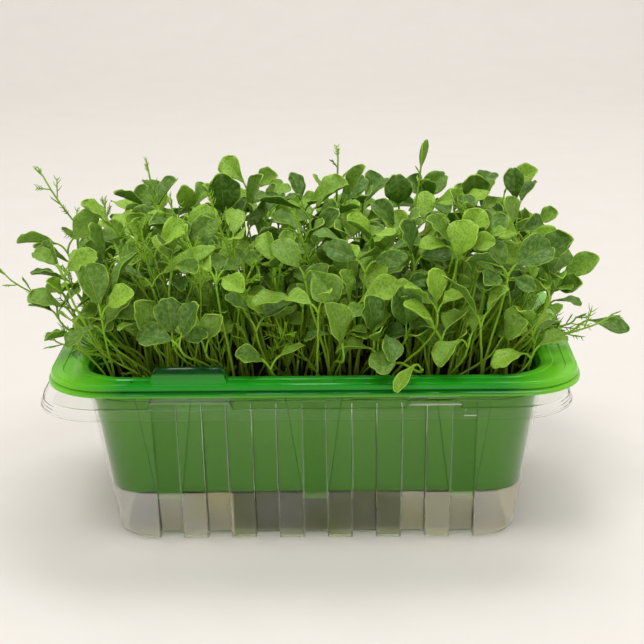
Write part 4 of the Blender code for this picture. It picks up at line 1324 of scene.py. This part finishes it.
def green_plastic(name, rim, high, low):
    """Tinted plastic: one green on the rim, with painted light and shade, and another that darkens down the
    wall as painted shade.
    """
    mat, tree, shader = shader_of(name)
    level = position(tree, "Z")
    cloud = noise(tree, 26.0)
    fine = noise(tree, 900.0, 2.0)
    # Painted shade: the wall's green darkens toward the floor.
    up = maths(tree, "DIVIDE", maths(tree, "SUBTRACT", level, 0.018), 0.046, clamp=True)
    wall = ramp(tree, up, ((0.0, low), (1.0, high)))
    colour = mix(tree, rising(tree, level, 0.0625, 900.0), wall, rim_colour_and_painted_light(tree, level, rim))
    colour = mix(tree, times(tree, cloud, 0.25), colour, darker(high, 0.6))
    dress(tree, shader, colour, from_base(tree, fine, 0.1, 0.13), 0.4)
    soften(shader, 0.35, (0.3, 1.0, 0.1), 0.003)
    bump(tree, shader, cloud, 0.05, 0.001)
    return mat


def clear_plastic(name, frost, bend=1.25, tint=(0.95, 0.96, 0.94)):
    """Thin clear plastic, whose own shadow is faint; its frost and tint paint highlights, shade and the lit
    floor beneath it where a finish asks for them.
    """
    mat, tree, shader = shader_of(name)
    haze = noise(tree, 40.0, 4.0)
    fine = noise(tree, 300.0, 2.0)
    colour = ramp(tree, haze, ((0.2, (0.985, 0.99, 0.98)), (0.8, tint)))
    # Within a few millimetres of the floor a green-grey tint: painted shade beneath the green tray.
    colour = mix(tree, falling(tree, position(tree, "Z"), 400.0), colour, (0.80, 0.88, 0.72))
    dress(tree, shader, colour, from_base(tree, fine, 0.06, 0.01 + 0.5 * frost))
    shader.inputs["Transmission Weight"].default_value = 1.0 - frost
    shader.inputs["IOR"].default_value = bend
    bump(tree, shader, haze, 0.03, 0.001)
    ray = tree.nodes.new("ShaderNodeLightPath")
    through = tree.nodes.new("ShaderNodeBsdfTransparent")
    through.inputs["Color"].default_value = (0.93, 0.94, 0.92, 1.0)
    both = tree.nodes.new("ShaderNodeMixShader")
    tree.links.new(ray.outputs["Is Shadow Ray"], both.inputs["Fac"])
    tree.links.new(shader.outputs["BSDF"], both.inputs[1])
    tree.links.new(through.outputs["BSDF"], both.inputs[2])
    end = [n for n in tree.nodes if n.type == "OUTPUT_MATERIAL"][0]
    tree.links.new(both.outputs["Shader"], end.inputs["Surface"])
    return mat


def soil_material():
    mat, tree, shader = shader_of("dark_soil")
    lump = noise(tree, 330.0, 6.0, 0.7)
    colour = ramp(tree, lump, ((0.3, (0.003, 0.0018, 0.0022)), (0.58, (0.008, 0.005, 0.0055)),
                               (0.78, (0.035, 0.022, 0.014))))
    dress(tree, shader, colour, falling(tree, lump, 0.2), 0.2)
    bump(tree, shader, lump, 0.9, 0.002)
    return mat


# Trays.
CORNER_STEPS = 10
# Raised tabs on the front of each flange: from x, to x, and how high.
CLEAR_TABS = ((-56.6, -29.1, 2.9), (33.7, 51.3, 1.5))
GREEN_TABS = ((-55.3, -31.3, 4.1),)
TAB_SLOPE = ((-0.9, 0.0), (0.0, 0.86), (1.0, 1.0))
# A dimple in the clear skirt: from x, to x; its shape is drawn in clear_ring.
CLEAR_DIMPLE = (51.6, 57.2)
# How deep the flutes and how proud the ribs are, above the foot.
FLUTE_SEEN = 0.62
RIB_SEEN = 0.75
FOOT_TIGHTER = 3.0
FOOT_FILLET = 3.0
SHARP_ANGLE = 24.0

# Rings of the clear tray.  Skirt: out, up, dimple.  Crease: out, down, share of the tabs' height.
# Flange: in along x, in along y, tighter corner, share of the tabs' height.  Ledge: out, down.
CLEAR_SKIRT_RINGS = ((0.0, 0.0, 0.0), (-0.05, 0.5, 0.0), (-0.55, 0.8, 0.0), (-0.6, 1.5, 0.75),
                     (-0.95, 1.75, 0.75), (-1.0, 2.7, 0.35))
CLEAR_CREASE_RINGS = ((-0.05, 0.75, 0.0), (-0.3, 0.55, 0.0), (-0.75, 0.5, 0.6), (-0.9, 0.5, 0.92),
                      (-1.5, 0.5, 1.0))
CLEAR_FLANGE_RINGS = ((6.6, 6.8, 3.0, 1.0), (7.2, 7.4, 3.2, 0.0))
CLEAR_LEDGE_RINGS = ((0.5, 0.0), (-0.1, 0.25))

# Rings of the green tray.  Skirt: out, up.  Crease and ledge: out, down, share of the tabs' height.
# Wall: height, inward, how proud the ribs are, and the height of the ribs' feet where they have any.
GREEN_SKIRT_RINGS = ((0.0, 0.0), (-0.05, 0.75), (-0.7, 1.05), (-1.35, 1.6), (-1.35, 2.1), (-0.85, 2.5),
                     (-1.0, 3.3))
GREEN_CREASE_RINGS = ((0.1, 0.85, 0.0), (-0.4, 0.6, 0.0), (-0.9, 0.6, 0.0), (-1.3, 0.6, 0.93),
                      (-2.2, 0.6, 1.0), (-2.6, 0.6, 1.0), (-3.0, 0.95, 1.0))
GREEN_LEDGE_RINGS = ((3.2, 0.95, 1.0), (2.8, 0.6, 1.0), (2.4, 0.6, 1.0), (1.8, 0.6, 0.0), (1.0, 0.6, 0.0),
                     (0.4, 0.8, 0.0))
GREEN_WALL_RINGS = (
    (GREEN_LEDGE[3] - 1.5, 0.0, 0.0, None), (GREEN_LEDGE[3] - 3.0, 0.0, RIB_SEEN * 0.6, None),
    (46.0, 0.0, RIB_SEEN, None), (GREEN_FLOOR_Z + 4.5, 0.0, RIB_SEEN, None),
    (GREEN_FLOOR_Z + 1.4, 0.05, RIB_SEEN, None), (GREEN_FLOOR_Z + 0.4, 0.4, RIB_SEEN + 0.3, None),
    (GREEN_FLOOR_Z, 1.5, RIB_SEEN + 0.9, RIB_FOOT_Z), (GREEN_FLOOR_Z, RIB_FOOT_REACH, 0.0, RIB_FOOT_Z),
    (GREEN_FLOOR_Z, RIB_FOOT_REACH + 0.9, 0.0, None),
)

# The clear tray's finishes, as name, frost, bend of light and tint, in the order of its material numbers. All
# but the plain sheet and the flat top paint light: highlights as frost on edges, the boss and the catch,
# shade as a dark tint on edges, and the lit floor beneath the trays as a tinted haze on the low wall.
CLEAR, HIGHLIGHT_HAZE, HIGHLIGHT_EDGE, PAINTED_LIGHT_MIDDLE, FLAT_TOP, SHADE_EDGE, PAINTED_LIGHT_SIDE, PAINTED_LIGHT_END_AND_CATCH = range(8)
CLEAR_FINISHES = (
    ("clear_sheet", 0.0), ("clear_highlight_haze", 0.035), ("clear_highlight_edge", 0.1),
    ("clear_low", 0.07, 1.25, (0.68, 0.76, 0.26)), ("clear_top", 0.0, 1.14),
    ("clear_shade_line", 0.0, 1.3, (0.5, 0.58, 0.4)),
    ("clear_painted_light_side", 0.2, 1.25, (0.94, 0.89, 0.52)), ("clear_painted_light_end_and_catch", 0.2, 1.2, (1.0, 0.93, 0.76)),
)


def plain_mesh(name, points, faces):
    """A mesh in metres from points in millimetres."""
    mesh = bpy.data.meshes.new(name)
    mesh.from_pydata([Vector(p) * MM for p in points], [], faces)
    mesh.update()
    return mesh


def skin(name, rings, sheet, mats):
    """Loft the rings and thicken them inward; the inner side takes the second material."""
    mesh = plain_mesh(name, *loft(rings))
    for mat in mats:
        mesh.materials.append(mat)
    thing = put_in_scene(name, mesh)
    solid = thing.modifiers.new("sheet", "SOLIDIFY")
    solid.thickness = sheet * MM
    solid.offset = -1.0
    solid.use_even_offset = True
    solid.material_offset = len(mats) - 1
    graph = bpy.context.evaluated_depsgraph_get()
    made = bpy.data.meshes.new_from_object(thing.evaluated_get(graph))
    thing.modifiers.clear()
    thing.data = made
    made.polygons.foreach_set("use_smooth", [True] * len(made.polygons))
    made.set_sharp_from_angle(angle=math.radians(SHARP_ANGLE))
    return thing


def rounded_ring(front, back, half_x, half_y, radius, shift=0.0):
    """A ring of (x, y, raise) whose front and back take points of their own as (x, inward, raise)."""
    ring = []
    corners = ((1, -1, -90), (1, 1, 0), (-1, 1, 90), (-1, -1, 180))
    for index, (side_x, side_y, start) in enumerate(corners):
        for step in range(CORNER_STEPS + 1):
            turn = math.radians(start + 90.0 * step / CORNER_STEPS)
            ring.append((side_x * (half_x - radius) + radius * math.cos(turn) + shift,
                         side_y * (half_y - radius) + radius * math.sin(turn), 0.0))
        if index == 1:
            ring += [(x, half_y - inward, lift) for x, inward, lift in reversed(back)]
        if index == 3:
            ring += [(x, inward - half_y, lift) for x, inward, lift in front]
    return ring


def along_line(x, line, part):
    """The value that a line of points (x, inward, raise) has at x."""
    return float(np.interp(x, [p[0] for p in line], [p[part] for p in line]))


def tab_profile(x0, x1):
    """The points of one tab, as x and share of its height."""
    return ([x0 + step for step, _ in TAB_SLOPE] + [x1 - step for step, _ in reversed(TAB_SLOPE)],
            [share for _, share in TAB_SLOPE] + [share for _, share in reversed(TAB_SLOPE)])


def tab_height(x, tabs):
    """How high the raised tabs stand at x."""
    return sum(top * float(np.interp(x, *tab_profile(x0, x1))) for x0, x1, top in tabs)


def with_tabs(line, tabs, lift):
    """A front line with the tabs' points added, and all of them raised by a share of the tabs' height."""
    xs = sorted([p[0] for p in line] + [x for x0, x1, _ in tabs for x in tab_profile(x0, x1)[0]])
    return [(x, along_line(x, line, 1), along_line(x, line, 2) + lift * tab_height(x, tabs)) for x in xs]


def flutes_at(depth):
    """The points of the flutes along one side, pressed in by a depth."""
    line = []
    for number in range(FLUTE_COUNT):
        centre = (number - FLUTE_COUNT // 2) * FLUTE_PITCH
        outer = FLUTE_HALF + FLUTE_SIDE
        line += [(centre - outer, 0.0, 0.0), (centre - FLUTE_HALF, depth, 0.0),
                 (centre + FLUTE_HALF, depth, 0.0), (centre + outer, 0.0, 0.0)]
    return line


def clear_ring(half_x, half_y, radius, z, depth=0.0, lift=0.0, shift=0.0, dimple=0.0):
    """One ring of the clear tray, with its flutes, tabs and dimple."""
    line = flutes_at(depth)
    front = with_tabs(line, CLEAR_TABS, lift)
    x0, x1 = CLEAR_DIMPLE
    bulge = ((x0, 0.0), (x0 + 0.9, 0.7), (x0 + 2.8, 1.0), (x1 - 0.9, 0.7), (x1, 0.0))
    front = sorted(front + [(x, along_line(x, front, 1) - dimple * size, 0.0) for x, size in bulge])
    return [(x, y, z + up) for x, y, up in rounded_ring(front, line, half_x, half_y, radius, shift)]


def clear_wall(z, depth, inset=0.0):
    """A ring of the clear tray's sloping wall."""
    return clear_ring(CLEAR_FOOT[0] + CLEAR_SLOPE_X * z - inset, CLEAR_FOOT[1] + CLEAR_SLOPE_Y * z - inset,
                      CLEAR_FOOT[2] + CLEAR_CORNER_GROWS * z - inset, z, depth)


def clear_flange(size, out, down, lift=0.0, dimple=0.0):
    """A ring of the flange: a named size of the CAD with a step outward and down."""
    half_x, half_y, radius, z = size
    out -= CLEAR_SHEET
    return clear_ring(half_x + out, half_y + out, radius + out, z - down, lift=lift, shift=CLEAR_FLANGE_SHIFT,
                      dimple=dimple)


def wall_finish(x, y, z, normal):
    """The finish of a face below the flange: painted highlight and painted shade on the edges of the flutes,
    and low down a tinted haze that paints the floor beneath the trays, lit and green-tinged, as seen through
    the plastic.
    """
    upright = abs(normal.z)
    # Bevels at the foot: painted highlight lines.
    if z < 1.0:
        return HIGHLIGHT_EDGE if 0.3 < upright < 0.97 else CLEAR
    # Side walls of the flutes: painted highlight on the walls nearer the middle, painted shade on the walls
    # farther out.
    if abs(normal.x) > 0.4 and abs(x) < 62.0 and abs(y) > 38.0:
        flute = round(abs(x) / FLUTE_PITCH) * FLUTE_PITCH
        return HIGHLIGHT_EDGE if flute == 0 or abs(x) < flute else SHADE_EDGE
    if z > 20.0 or upright > 0.7:
        return CLEAR
    # Low wall: a tinted haze paints the floor beneath the trays, lit and green-tinged in the middle, paler
    # and warmer toward the ends.
    if abs(x) < 30.0:
        return PAINTED_LIGHT_MIDDLE
    return PAINTED_LIGHT_SIDE if abs(x) < 58.0 else PAINTED_LIGHT_END_AND_CATCH


def clear_finish(centre, normal):
    """Which finish a face of the clear tray takes; lengths in millimetres."""
    x, y, z = centre
    upright = abs(normal.z)
    boss, catch = CLEAR_TABS
    if z < 57.0:
        return wall_finish(x, y, z, normal)
    # Boss: a painted highlight on its top edge bevels, and a faint frost that paints its front paler, a
    # painted highlight.
    if y < -50.0 and z > 60.6 and boss[0] - 1 < x < boss[1] + 1:
        return HIGHLIGHT_EDGE if 0.3 < upright < 0.97 and z > 62.2 else HIGHLIGHT_HAZE
    # Catch: its front faces take the frosted end finish, which paints a highlight line; its other faces
    # reflect less.
    if y < -50.0 and z > 60.1 and catch[0] - 1 < x < catch[1] + 1:
        return PAINTED_LIGHT_END_AND_CATCH if y < -59.0 and (z > 60.5 or abs(normal.x) > 0.4) else FLAT_TOP
    if upright > 0.9 or 58.8 < z < 60.6:
        return FLAT_TOP
    return CLEAR


def make_clear():
    """The clear tray as one sheet, from the skirt's lower edge over the flange and down to the floor."""
    rings = [clear_flange(CLEAR_LIP, out, -up, dimple=dimple) for out, up, dimple in CLEAR_SKIRT_RINGS]
    rings += [clear_flange(CLEAR_CREASE, out, down, lift) for out, down, lift in CLEAR_CREASE_RINGS]
    half_x, half_y, radius, z = CLEAR_CREASE
    for in_x, in_y, tighter, lift in CLEAR_FLANGE_RINGS:
        rings.append(clear_ring(half_x - in_x, half_y - in_y, radius - tighter, z - CLEAR_SHEET, lift=lift,
                                shift=CLEAR_FLANGE_SHIFT * 0.5))
    half_x, half_y, radius, z = CLEAR_LEDGE
    for out, down in CLEAR_LEDGE_RINGS:
        rings.append(clear_ring(half_x + out, half_y + out, radius, z - CLEAR_SHEET - down))
    rings.append(clear_wall(z - 1.3, 0.0))
    for level in (z - 2.6, 38.0, 20.5, FLUTE_KINK_Z):
        rings.append(clear_wall(level, FLUTE_SEEN))
    rings.append(clear_wall(CLEAR_EDGE, FLUTE_SEEN + (FLUTE_DEEP - FLUTE_SEEN) * 0.7))
    for angle in (22.5, 45.0, 67.5, 90.0):
        turn = math.radians(angle)
        rings.append(clear_wall(FOOT_FILLET * (1 - math.sin(turn)), FLUTE_DEEP * (0.8 + 0.2 * angle / 90.0),
                                FOOT_FILLET * (1 - math.cos(turn))))
    mats = [clear_plastic(*finish) for finish in CLEAR_FINISHES]
    thing = skin("clear_tray_sheet", rings, CLEAR_SHEET, mats[:1])
    for mat in mats[1:]:
        thing.data.materials.append(mat)
    for face in thing.data.polygons:
        face.material_index = clear_finish(face.center / MM, face.normal)
    return thing


def ribs_at(z, proud):
    """The points of the ribs along one side at a height; they widen upward."""
    half = RIB_HALF_FOOT + RIB_WIDEN * (z - GREEN_FLOOR_Z)
    line = []
    for centre in RIB_X:
        line += [(centre - half - 0.5, 0.0, 0.0), (centre - half, -proud, 0.0),
                 (centre + half, -proud, 0.0), (centre + half + 0.5, 0.0, 0.0)]
    return line


def green_ring(half_x, half_y, radius, z, line, lift=0.0):
    """One ring of the green tray, with its ribs and tabs."""
    front = with_tabs(line, GREEN_TABS, lift)
    return [(x, y, z + up) for x, y, up in rounded_ring(front, line, half_x, half_y, radius)]


def green_wall(z, inset, proud, foot_z):
    """A ring of the green tray's wall, whose ribs can reach down to feet of their own."""
    wall = z - GREEN_FLOOR_Z
    line = ribs_at(z, proud)
    if foot_z is not None:
        line = [(x, inward, foot_z - z if index % 4 in (1, 2) else 0.0)
                for index, (x, inward, _) in enumerate(line)]
    tighter = FOOT_TIGHTER * max(1.0 - wall / 25.0, 0.0)
    half_x = GREEN_FOOT[0] + GREEN_SLOPE_X * wall - inset
    half_y = GREEN_FOOT[1] + GREEN_SLOPE_Y * wall - inset
    return green_ring(half_x, half_y, GREEN_FOOT[2] + GREEN_CORNER_GROWS * wall - inset - tighter, z, line)


def green_flange(size, out, down, lift=0.0):
    """A ring of the green flange: a named size of the CAD with a step outward and down."""
    half_x, half_y, radius, z = size
    out -= GREEN_SHEET
    return green_ring(half_x + out, half_y + out, radius + out, z - down, ribs_at(z, 0.0), lift)


def make_green():
    """The green tray as one sheet; its inner side takes darker, bluer greens that paint the shade inside the
    tray.
    """
    outside = green_plastic("green_sheet", (0.010, 0.29, 0.008), (0.10, 0.345, 0.004), (0.046, 0.19, 0.002))
    # The inner side's greens: painted shade.
    inside = green_plastic("green_sheet_inside_shade", (0.010, 0.33, 0.008), (0.003, 0.20, 0.035),
                           (0.002, 0.09, 0.014))
    rings = [green_flange(GREEN_LIP, out, -up) for out, up in GREEN_SKIRT_RINGS]
    rings += [green_flange(GREEN_CREASE, *ring) for ring in GREEN_CREASE_RINGS]
    rings += [green_flange(GREEN_LEDGE, *ring) for ring in GREEN_LEDGE_RINGS]
    rings += [green_wall(*ring) for ring in GREEN_WALL_RINGS]
    return skin("green_tray_sheet", rings, GREEN_SHEET, [outside, inside])


# Soil.
SOIL_RINGS = 34
SOIL_LUMPS = 420
SOIL_LOW_WALL = 5.0
SOIL_SINK = 0.4
SOIL_PATCH = (74.0, 42.0)
SOIL_GRID = (60, 36)


def lump_height():
    """A seeded rule for the height of the soil's lumps at a point."""
    rng = random.Random(5)
    ranges = ((-80, 80), (-48, 48), (1.2, 4.0), (-1.0, 1.2))
    lumps = np.array([[rng.uniform(*limits) for limits in ranges] for _ in range(SOIL_LUMPS)])

    def height(x, y):
        near = np.exp(-((x - lumps[:, 0]) ** 2 + (y - lumps[:, 1]) ** 2) / lumps[:, 2] ** 2)
        return float(np.clip((near * lumps[:, 3]).sum(), -1.4, 1.6))

    return height


def soil_ring(wall, inset):
    """The soil's outline at a height above the green tray's floor."""
    even = [(x, 0.0, 0.0) for x in np.linspace(-50.0, 50.0, 30)]
    back = GREEN_SHEET * 1.02 + SOIL_GAP + inset
    return rounded_ring(even, even, GREEN_FOOT[0] + GREEN_SLOPE_X * wall - back,
                        GREEN_FOOT[1] + GREEN_SLOPE_Y * wall - back,
                        GREEN_FOOT[2] + GREEN_CORNER_GROWS * wall - back)


def make_soil_bed(mat):
    """The soil: a closed body with a lumpy top."""
    height = lump_height()
    base = GREEN_FLOOR_Z + GREEN_SHEET + SOIL_GAP
    rings = [[(x, y, base) for x, y, _ in soil_ring(0.0, 4.0)],
             [(x, y, GREEN_FLOOR_Z + SOIL_LOW_WALL) for x, y, _ in soil_ring(SOIL_LOW_WALL, 0.3)]]
    top = soil_ring(SOIL_Z - GREEN_FLOOR_Z, 0.0)
    for step in range(SOIL_RINGS):
        share = 1.0 - step / SOIL_RINGS
        spots = [(x * share, y * share) for x, y, _ in top]
        rings.append([(x, y, SOIL_Z - SOIL_SINK + (height(x, y) if step else -0.6)) for x, y in spots])
    points, faces = loft(rings)
    faces.append(tuple(reversed(range(len(rings[0])))))
    shape = Shape()
    shape.add(points, faces, [0] * len(faces), [(0, 0, 0, 1)] * len(points))
    return shape.make("soil_bed", [mat])


def crumb_tree(mat):
    """Geometry nodes: crumbs scattered over a surface."""
    inputs = (("Density", "NodeSocketFloat", 30000.0), ("Smallest", "NodeSocketFloat", 0.0003),
              ("Largest", "NodeSocketFloat", 0.0011), ("Seed", "NodeSocketInt", 3))
    tree, start, end = tree_with("crumbs_on_surface", inputs)
    nodes, links = tree.nodes, tree.links
    scatter = nodes.new("GeometryNodeDistributePointsOnFaces")
    links.new(start.outputs["Geometry"], scatter.inputs["Mesh"])
    links.new(start.outputs["Density"], scatter.inputs["Density"])
    links.new(start.outputs["Seed"], scatter.inputs["Seed"])
    ball = nodes.new("GeometryNodeMeshIcoSphere")
    ball.inputs["Radius"].default_value = 1.0
    ball.inputs["Subdivisions"].default_value = 1
    rough = nodes.new("GeometryNodeSetPosition")
    offset = nodes.new("FunctionNodeRandomValue")
    offset.data_type = "FLOAT_VECTOR"
    offset.inputs[0].default_value = (-0.3, -0.3, -0.3)
    offset.inputs[1].default_value = (0.3, 0.3, 0.3)
    links.new(ball.outputs["Mesh"], rough.inputs["Geometry"])
    links.new(offset.outputs[0], rough.inputs["Offset"])
    size = nodes.new("FunctionNodeRandomValue")
    size.data_type = "FLOAT"
    links.new(start.outputs["Smallest"], size.inputs[2])
    links.new(start.outputs["Largest"], size.inputs[3])
    links.new(start.outputs["Seed"], size.inputs["Seed"])
    turn = nodes.new("FunctionNodeRandomValue")
    turn.data_type = "FLOAT_VECTOR"
    turn.inputs[1].default_value = (math.tau, math.tau, math.tau)
    place = nodes.new("GeometryNodeInstanceOnPoints")
    links.new(scatter.outputs["Points"], place.inputs["Points"])
    links.new(rough.outputs["Geometry"], place.inputs["Instance"])
    links.new(turn.outputs[0], place.inputs["Rotation"])
    links.new(size.outputs[1], place.inputs["Scale"])
    finish_tree(tree, place.outputs["Instances"], end, mat)
    return tree


def crumbs_on(name, patch, tree, **values):
    """Crumbs scattered over a patch, as a plain mesh object."""
    made = run_tree(plain_mesh("patch", *patch), tree, **values)
    made.name = name
    return put_in_scene(name, made)


def rim_patch():
    """The flat top of the green rim, as a ring of faces."""
    outer = green_flange(GREEN_CREASE, -0.4, -0.12)
    inner = green_flange(GREEN_LEDGE, 2.0, -0.12)
    count = len(outer)
    faces = [(i, (i + 1) % count, count + (i + 1) % count, count + i) for i in range(count)]
    return outer + inner, faces


def soil_patch():
    """The soil's top as a grid, for the crumbs to lie on."""
    height = lump_height()
    columns, rows = SOIL_GRID
    points = []
    for j in range(rows + 1):
        for i in range(columns + 1):
            x, y = SOIL_PATCH[0] * (2 * i / columns - 1), SOIL_PATCH[1] * (2 * j / rows - 1)
            points.append((x, y, SOIL_Z - SOIL_SINK + height(x, y)))
    faces = []
    for j in range(rows):
        for i in range(columns):
            k = j * (columns + 1) + i
            faces.append((k, k + 1, k + columns + 2, k + columns + 1))
    return points, faces


# Stage.  The camera stands where the photograph was taken from: its place in millimetres, how far it looks
# down and how far it is rolled in degrees, and the level way to its right.
CAMERA_PLACE = (11.46, -551.15, 254.29)
CAMERA_DOWN = 18.362
CAMERA_ROLL = -0.748
CAMERA_RIGHT = (0.99987, 0.01634, 0.0)
# Lamps: name, place, target and size in metres, power in watts, and colour.
WHITE = (1.0, 1.0, 1.0)
LAMPS = (
    ("key", (-0.45, -0.8, 2.0), (0, 0, 0.06), (0.8, 0.8), 17.0, (1.0, 0.99, 0.97)),
    ("fill", (0.9, -0.7, 1.8), (0, 0, 0.06), (0.9, 0.9), 7.5, WHITE),
    ("low", (0.0, -1.5, 0.32), (0, 0, 0.02), (1.6, 0.3), 3.0, WHITE),
    ("top", (0.15, 0.45, 1.5), (0, 0.05, 0.08), (0.9, 0.5), 8.0, WHITE),
)
# The floor, in metres: half its width, its front edge, where its back starts to curve up, how tightly it
# curves, and how high it then reaches.
FLOOR_HALF = 2.2
FLOOR_FRONT = -1.6
FLOOR_BACK = 0.9
FLOOR_CURVE = 0.6
FLOOR_TOP = 2.4
FLOOR_STEPS = 12


def make_camera():
    pitch, roll = math.radians(CAMERA_DOWN), math.radians(CAMERA_ROLL)
    right = Vector(CAMERA_RIGHT)
    level = Vector((-right.y, right.x, 0.0))
    ahead = (level * math.cos(pitch) - Vector((0, 0, math.sin(pitch)))).normalized()
    up = right.cross(ahead).normalized()
    side = right * math.cos(roll) + up * math.sin(roll)
    top = up * math.cos(roll) - right * math.sin(roll)
    data = bpy.data.cameras.new("camera")
    data.lens = 85.0
    data.sensor_width = 36.0
    data.clip_start = 0.01
    camera = put_in_scene("camera", data)
    rotation = Matrix((side, top, -ahead)).transposed()
    camera.matrix_world = Matrix.Translation(Vector(CAMERA_PLACE) * MM) @ rotation.to_4x4()
    bpy.context.scene.camera = camera


def area_light(name, place, target, size, power, colour):
    data = bpy.data.lights.new(name, "AREA")
    data.shape = "RECTANGLE"
    data.size, data.size_y = size
    data.energy = power
    data.color = colour
    lamp = put_in_scene(name, data)
    lamp.location = place
    lamp.rotation_euler = (Vector(target) - Vector(place)).to_track_quat("-Z", "Y").to_euler()


def make_floor():
    """A pale sheet that lies flat and curves up behind."""
    mat, tree, shader = shader_of("floor_paper")
    colour = ramp(tree, noise(tree, 30.0), ((0.0, (0.80, 0.755, 0.71)), (1.0, (0.84, 0.80, 0.755))))
    tree.links.new(colour, shader.inputs["Base Color"])
    shader.inputs["Roughness"].default_value = 0.8
    profile = [(FLOOR_FRONT, 0.0), (FLOOR_BACK, 0.0)]
    for step in range(1, FLOOR_STEPS + 1):
        turn = math.radians(90 * step / FLOOR_STEPS)
        profile.append((FLOOR_BACK + FLOOR_CURVE * math.sin(turn), FLOOR_CURVE * (1 - math.cos(turn))))
    profile.append((FLOOR_BACK + FLOOR_CURVE, FLOOR_TOP))
    points = [(x, y, z) for y, z in profile for x in (-FLOOR_HALF, FLOOR_HALF)]
    faces = [(2 * i, 2 * i + 1, 2 * i + 3, 2 * i + 2) for i in range(len(profile) - 1)]
    mesh = bpy.data.meshes.new("floor")
    mesh.from_pydata(points, [], faces)
    mesh.materials.append(mat)
    mesh.polygons.foreach_set("use_smooth", [True] * len(faces))
    floor = put_in_scene("floor", mesh)


def make_stage():
    """Floor, soft surrounding light, lamps, and how light is traced through the clear sheets."""
    make_floor()
    world = bpy.data.worlds.new("world")
    bpy.context.scene.world = world
    world.use_nodes = True
    back = world.node_tree.nodes["Background"]
    back.inputs["Color"].default_value = (1.0, 0.99, 0.97, 1.0)
    back.inputs["Strength"].default_value = 0.40
    for lamp in LAMPS:
        area_light(*lamp)
    view = bpy.context.scene.view_settings
    view.view_transform = "Standard"
    view.look = "None"
    rays = bpy.context.scene.cycles
    rays.max_bounces = 14
    rays.transmission_bounces = 12
    rays.transparent_max_bounces = 16


# Plants.  Feathery seedlings of the solids bear leaflets over this length; the scene's own seedlings are
# shared out over this many pieces.
PLACED_LEAFY = 34.0
MORE_PIECES = 8


def plant_materials(group):
    """The materials of a plant's mesh, in the order of their numbers."""
    stem = stem_material("stem", group, (0.42, 0.52, 0.05), (0.34, 0.56, 0.03), (0.26, 0.50, 0.025))
    # The top and the underside are lit and shaded copies of one leaf: the underside's greens are darker,
    # painted shade, and the top's palest patches are lighter, painted sheen.
    top = leaf_material("leaf_top", group, (0.05, 0.14, 0.005), (0.28, 0.50, 0.03), (0.45, 0.67, 0.16),
                        (0.38, 0.55, 0.07), (0.40, 0.62, 0.05), 0.36)
    under = leaf_material("leaf_under_shade", group, (0.05, 0.14, 0.006), (0.20, 0.38, 0.03), (0.27, 0.43, 0.07),
                          (0.34, 0.50, 0.08), (0.40, 0.62, 0.05), 0.5)
    feather = stem_material("feather", group, (0.36, 0.50, 0.03), (0.30, 0.50, 0.02), (0.24, 0.46, 0.02))
    return [top, under, stem, feather]


def add_planned(shape, seedling, rng):
    """A seedling of the solids, as the kind that it is."""
    if seedling["parts"] and seedling["parts"][0]["kind"] == "leaf":
        add_kale(shape, seedling, rng)
    elif seedling["stem"]["apex"].z > TALLEST:
        add_sprig(shape, seedling, rng)
    else:
        add_feather(shape, seedling, PLACED_LEAFY, rng, 0.9)


def make_bunches(places, plan, mats, tree):
    """One piece for each bunch of the solids."""
    pieces = []
    for plug in range(len(places)):
        own = [s for s in plan if s["plug"] == plug]
        if not own:
            continue
        rng = random.Random(1000 + plug)
        shape = Shape()
        for seedling in own:
            add_planned(shape, seedling, rng)
        shape.sweep(tree)
        number = len(pieces) + 1
        pieces.append((shape.make("kale_%02d" % number, mats), "leaf", ["seedlings_%02d" % number]))
    return pieces


def make_more(crowd, mats, tree):
    """Pieces for the scene's own seedlings, each a share of the whole tray's."""
    extra = plan_extra(crowd)
    feathery = plan_threads(crowd, *FEATHERY_THREADS)
    loose = plan_threads(crowd, *LOOSE_THREADS)
    rng = random.Random(77)
    pieces = []
    for part in range(MORE_PIECES):
        shape = Shape()
        for seedling in extra[part::MORE_PIECES]:
            add_kale(shape, seedling, rng)
        for seedling in feathery[part::MORE_PIECES]:
            add_feather(shape, seedling, seedling["leafy"], rng)
        for seedling in loose[part::MORE_PIECES]:
            add_stem(shape, seedling, rng.random(), rng, thin=0.85)
        shape.sweep(tree)
        pieces.append((shape.make("more_kale_%d" % (part + 1), mats), "leaf", []))
    return pieces


def make_plants():
    mats = plant_materials(mottle_group())
    tree = tube_tree(mats[STEM])
    places, plan = plan_plants()
    return make_bunches(places, plan, mats, tree) + make_more(grown_crowd(plan), mats, tree)


def make_trays():
    """The clear tray, the green tray, the soil, and the crumbs that lie on soil and rim."""
    soil = soil_material()
    crumbs = crumb_tree(soil)
    on_soil = {"Density": 42000.0, "Smallest": 0.0003, "Largest": 0.0012, "Seed": 3}
    on_rim = {"Density": 3000.0, "Smallest": 0.0001, "Largest": 0.00038, "Seed": 8}
    return [(make_clear(), "clear_plastic", ["clear_tray"]),
            (make_green(), "green_plastic", ["green_tray"]),
            (make_soil_bed(soil), "soil", ["soil"]),
            (crumbs_on("soil_crumbs", soil_patch(), crumbs, **on_soil), "soil", []),
            (crumbs_on("rim_specks", rim_patch(), crumbs, **on_rim), "soil", [])]


def main():
    make_camera()
    make_stage()
    for thing, slot, nodes in make_trays() + make_plants():
        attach(thing, "root")
        if nodes:
            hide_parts(*nodes)


main()
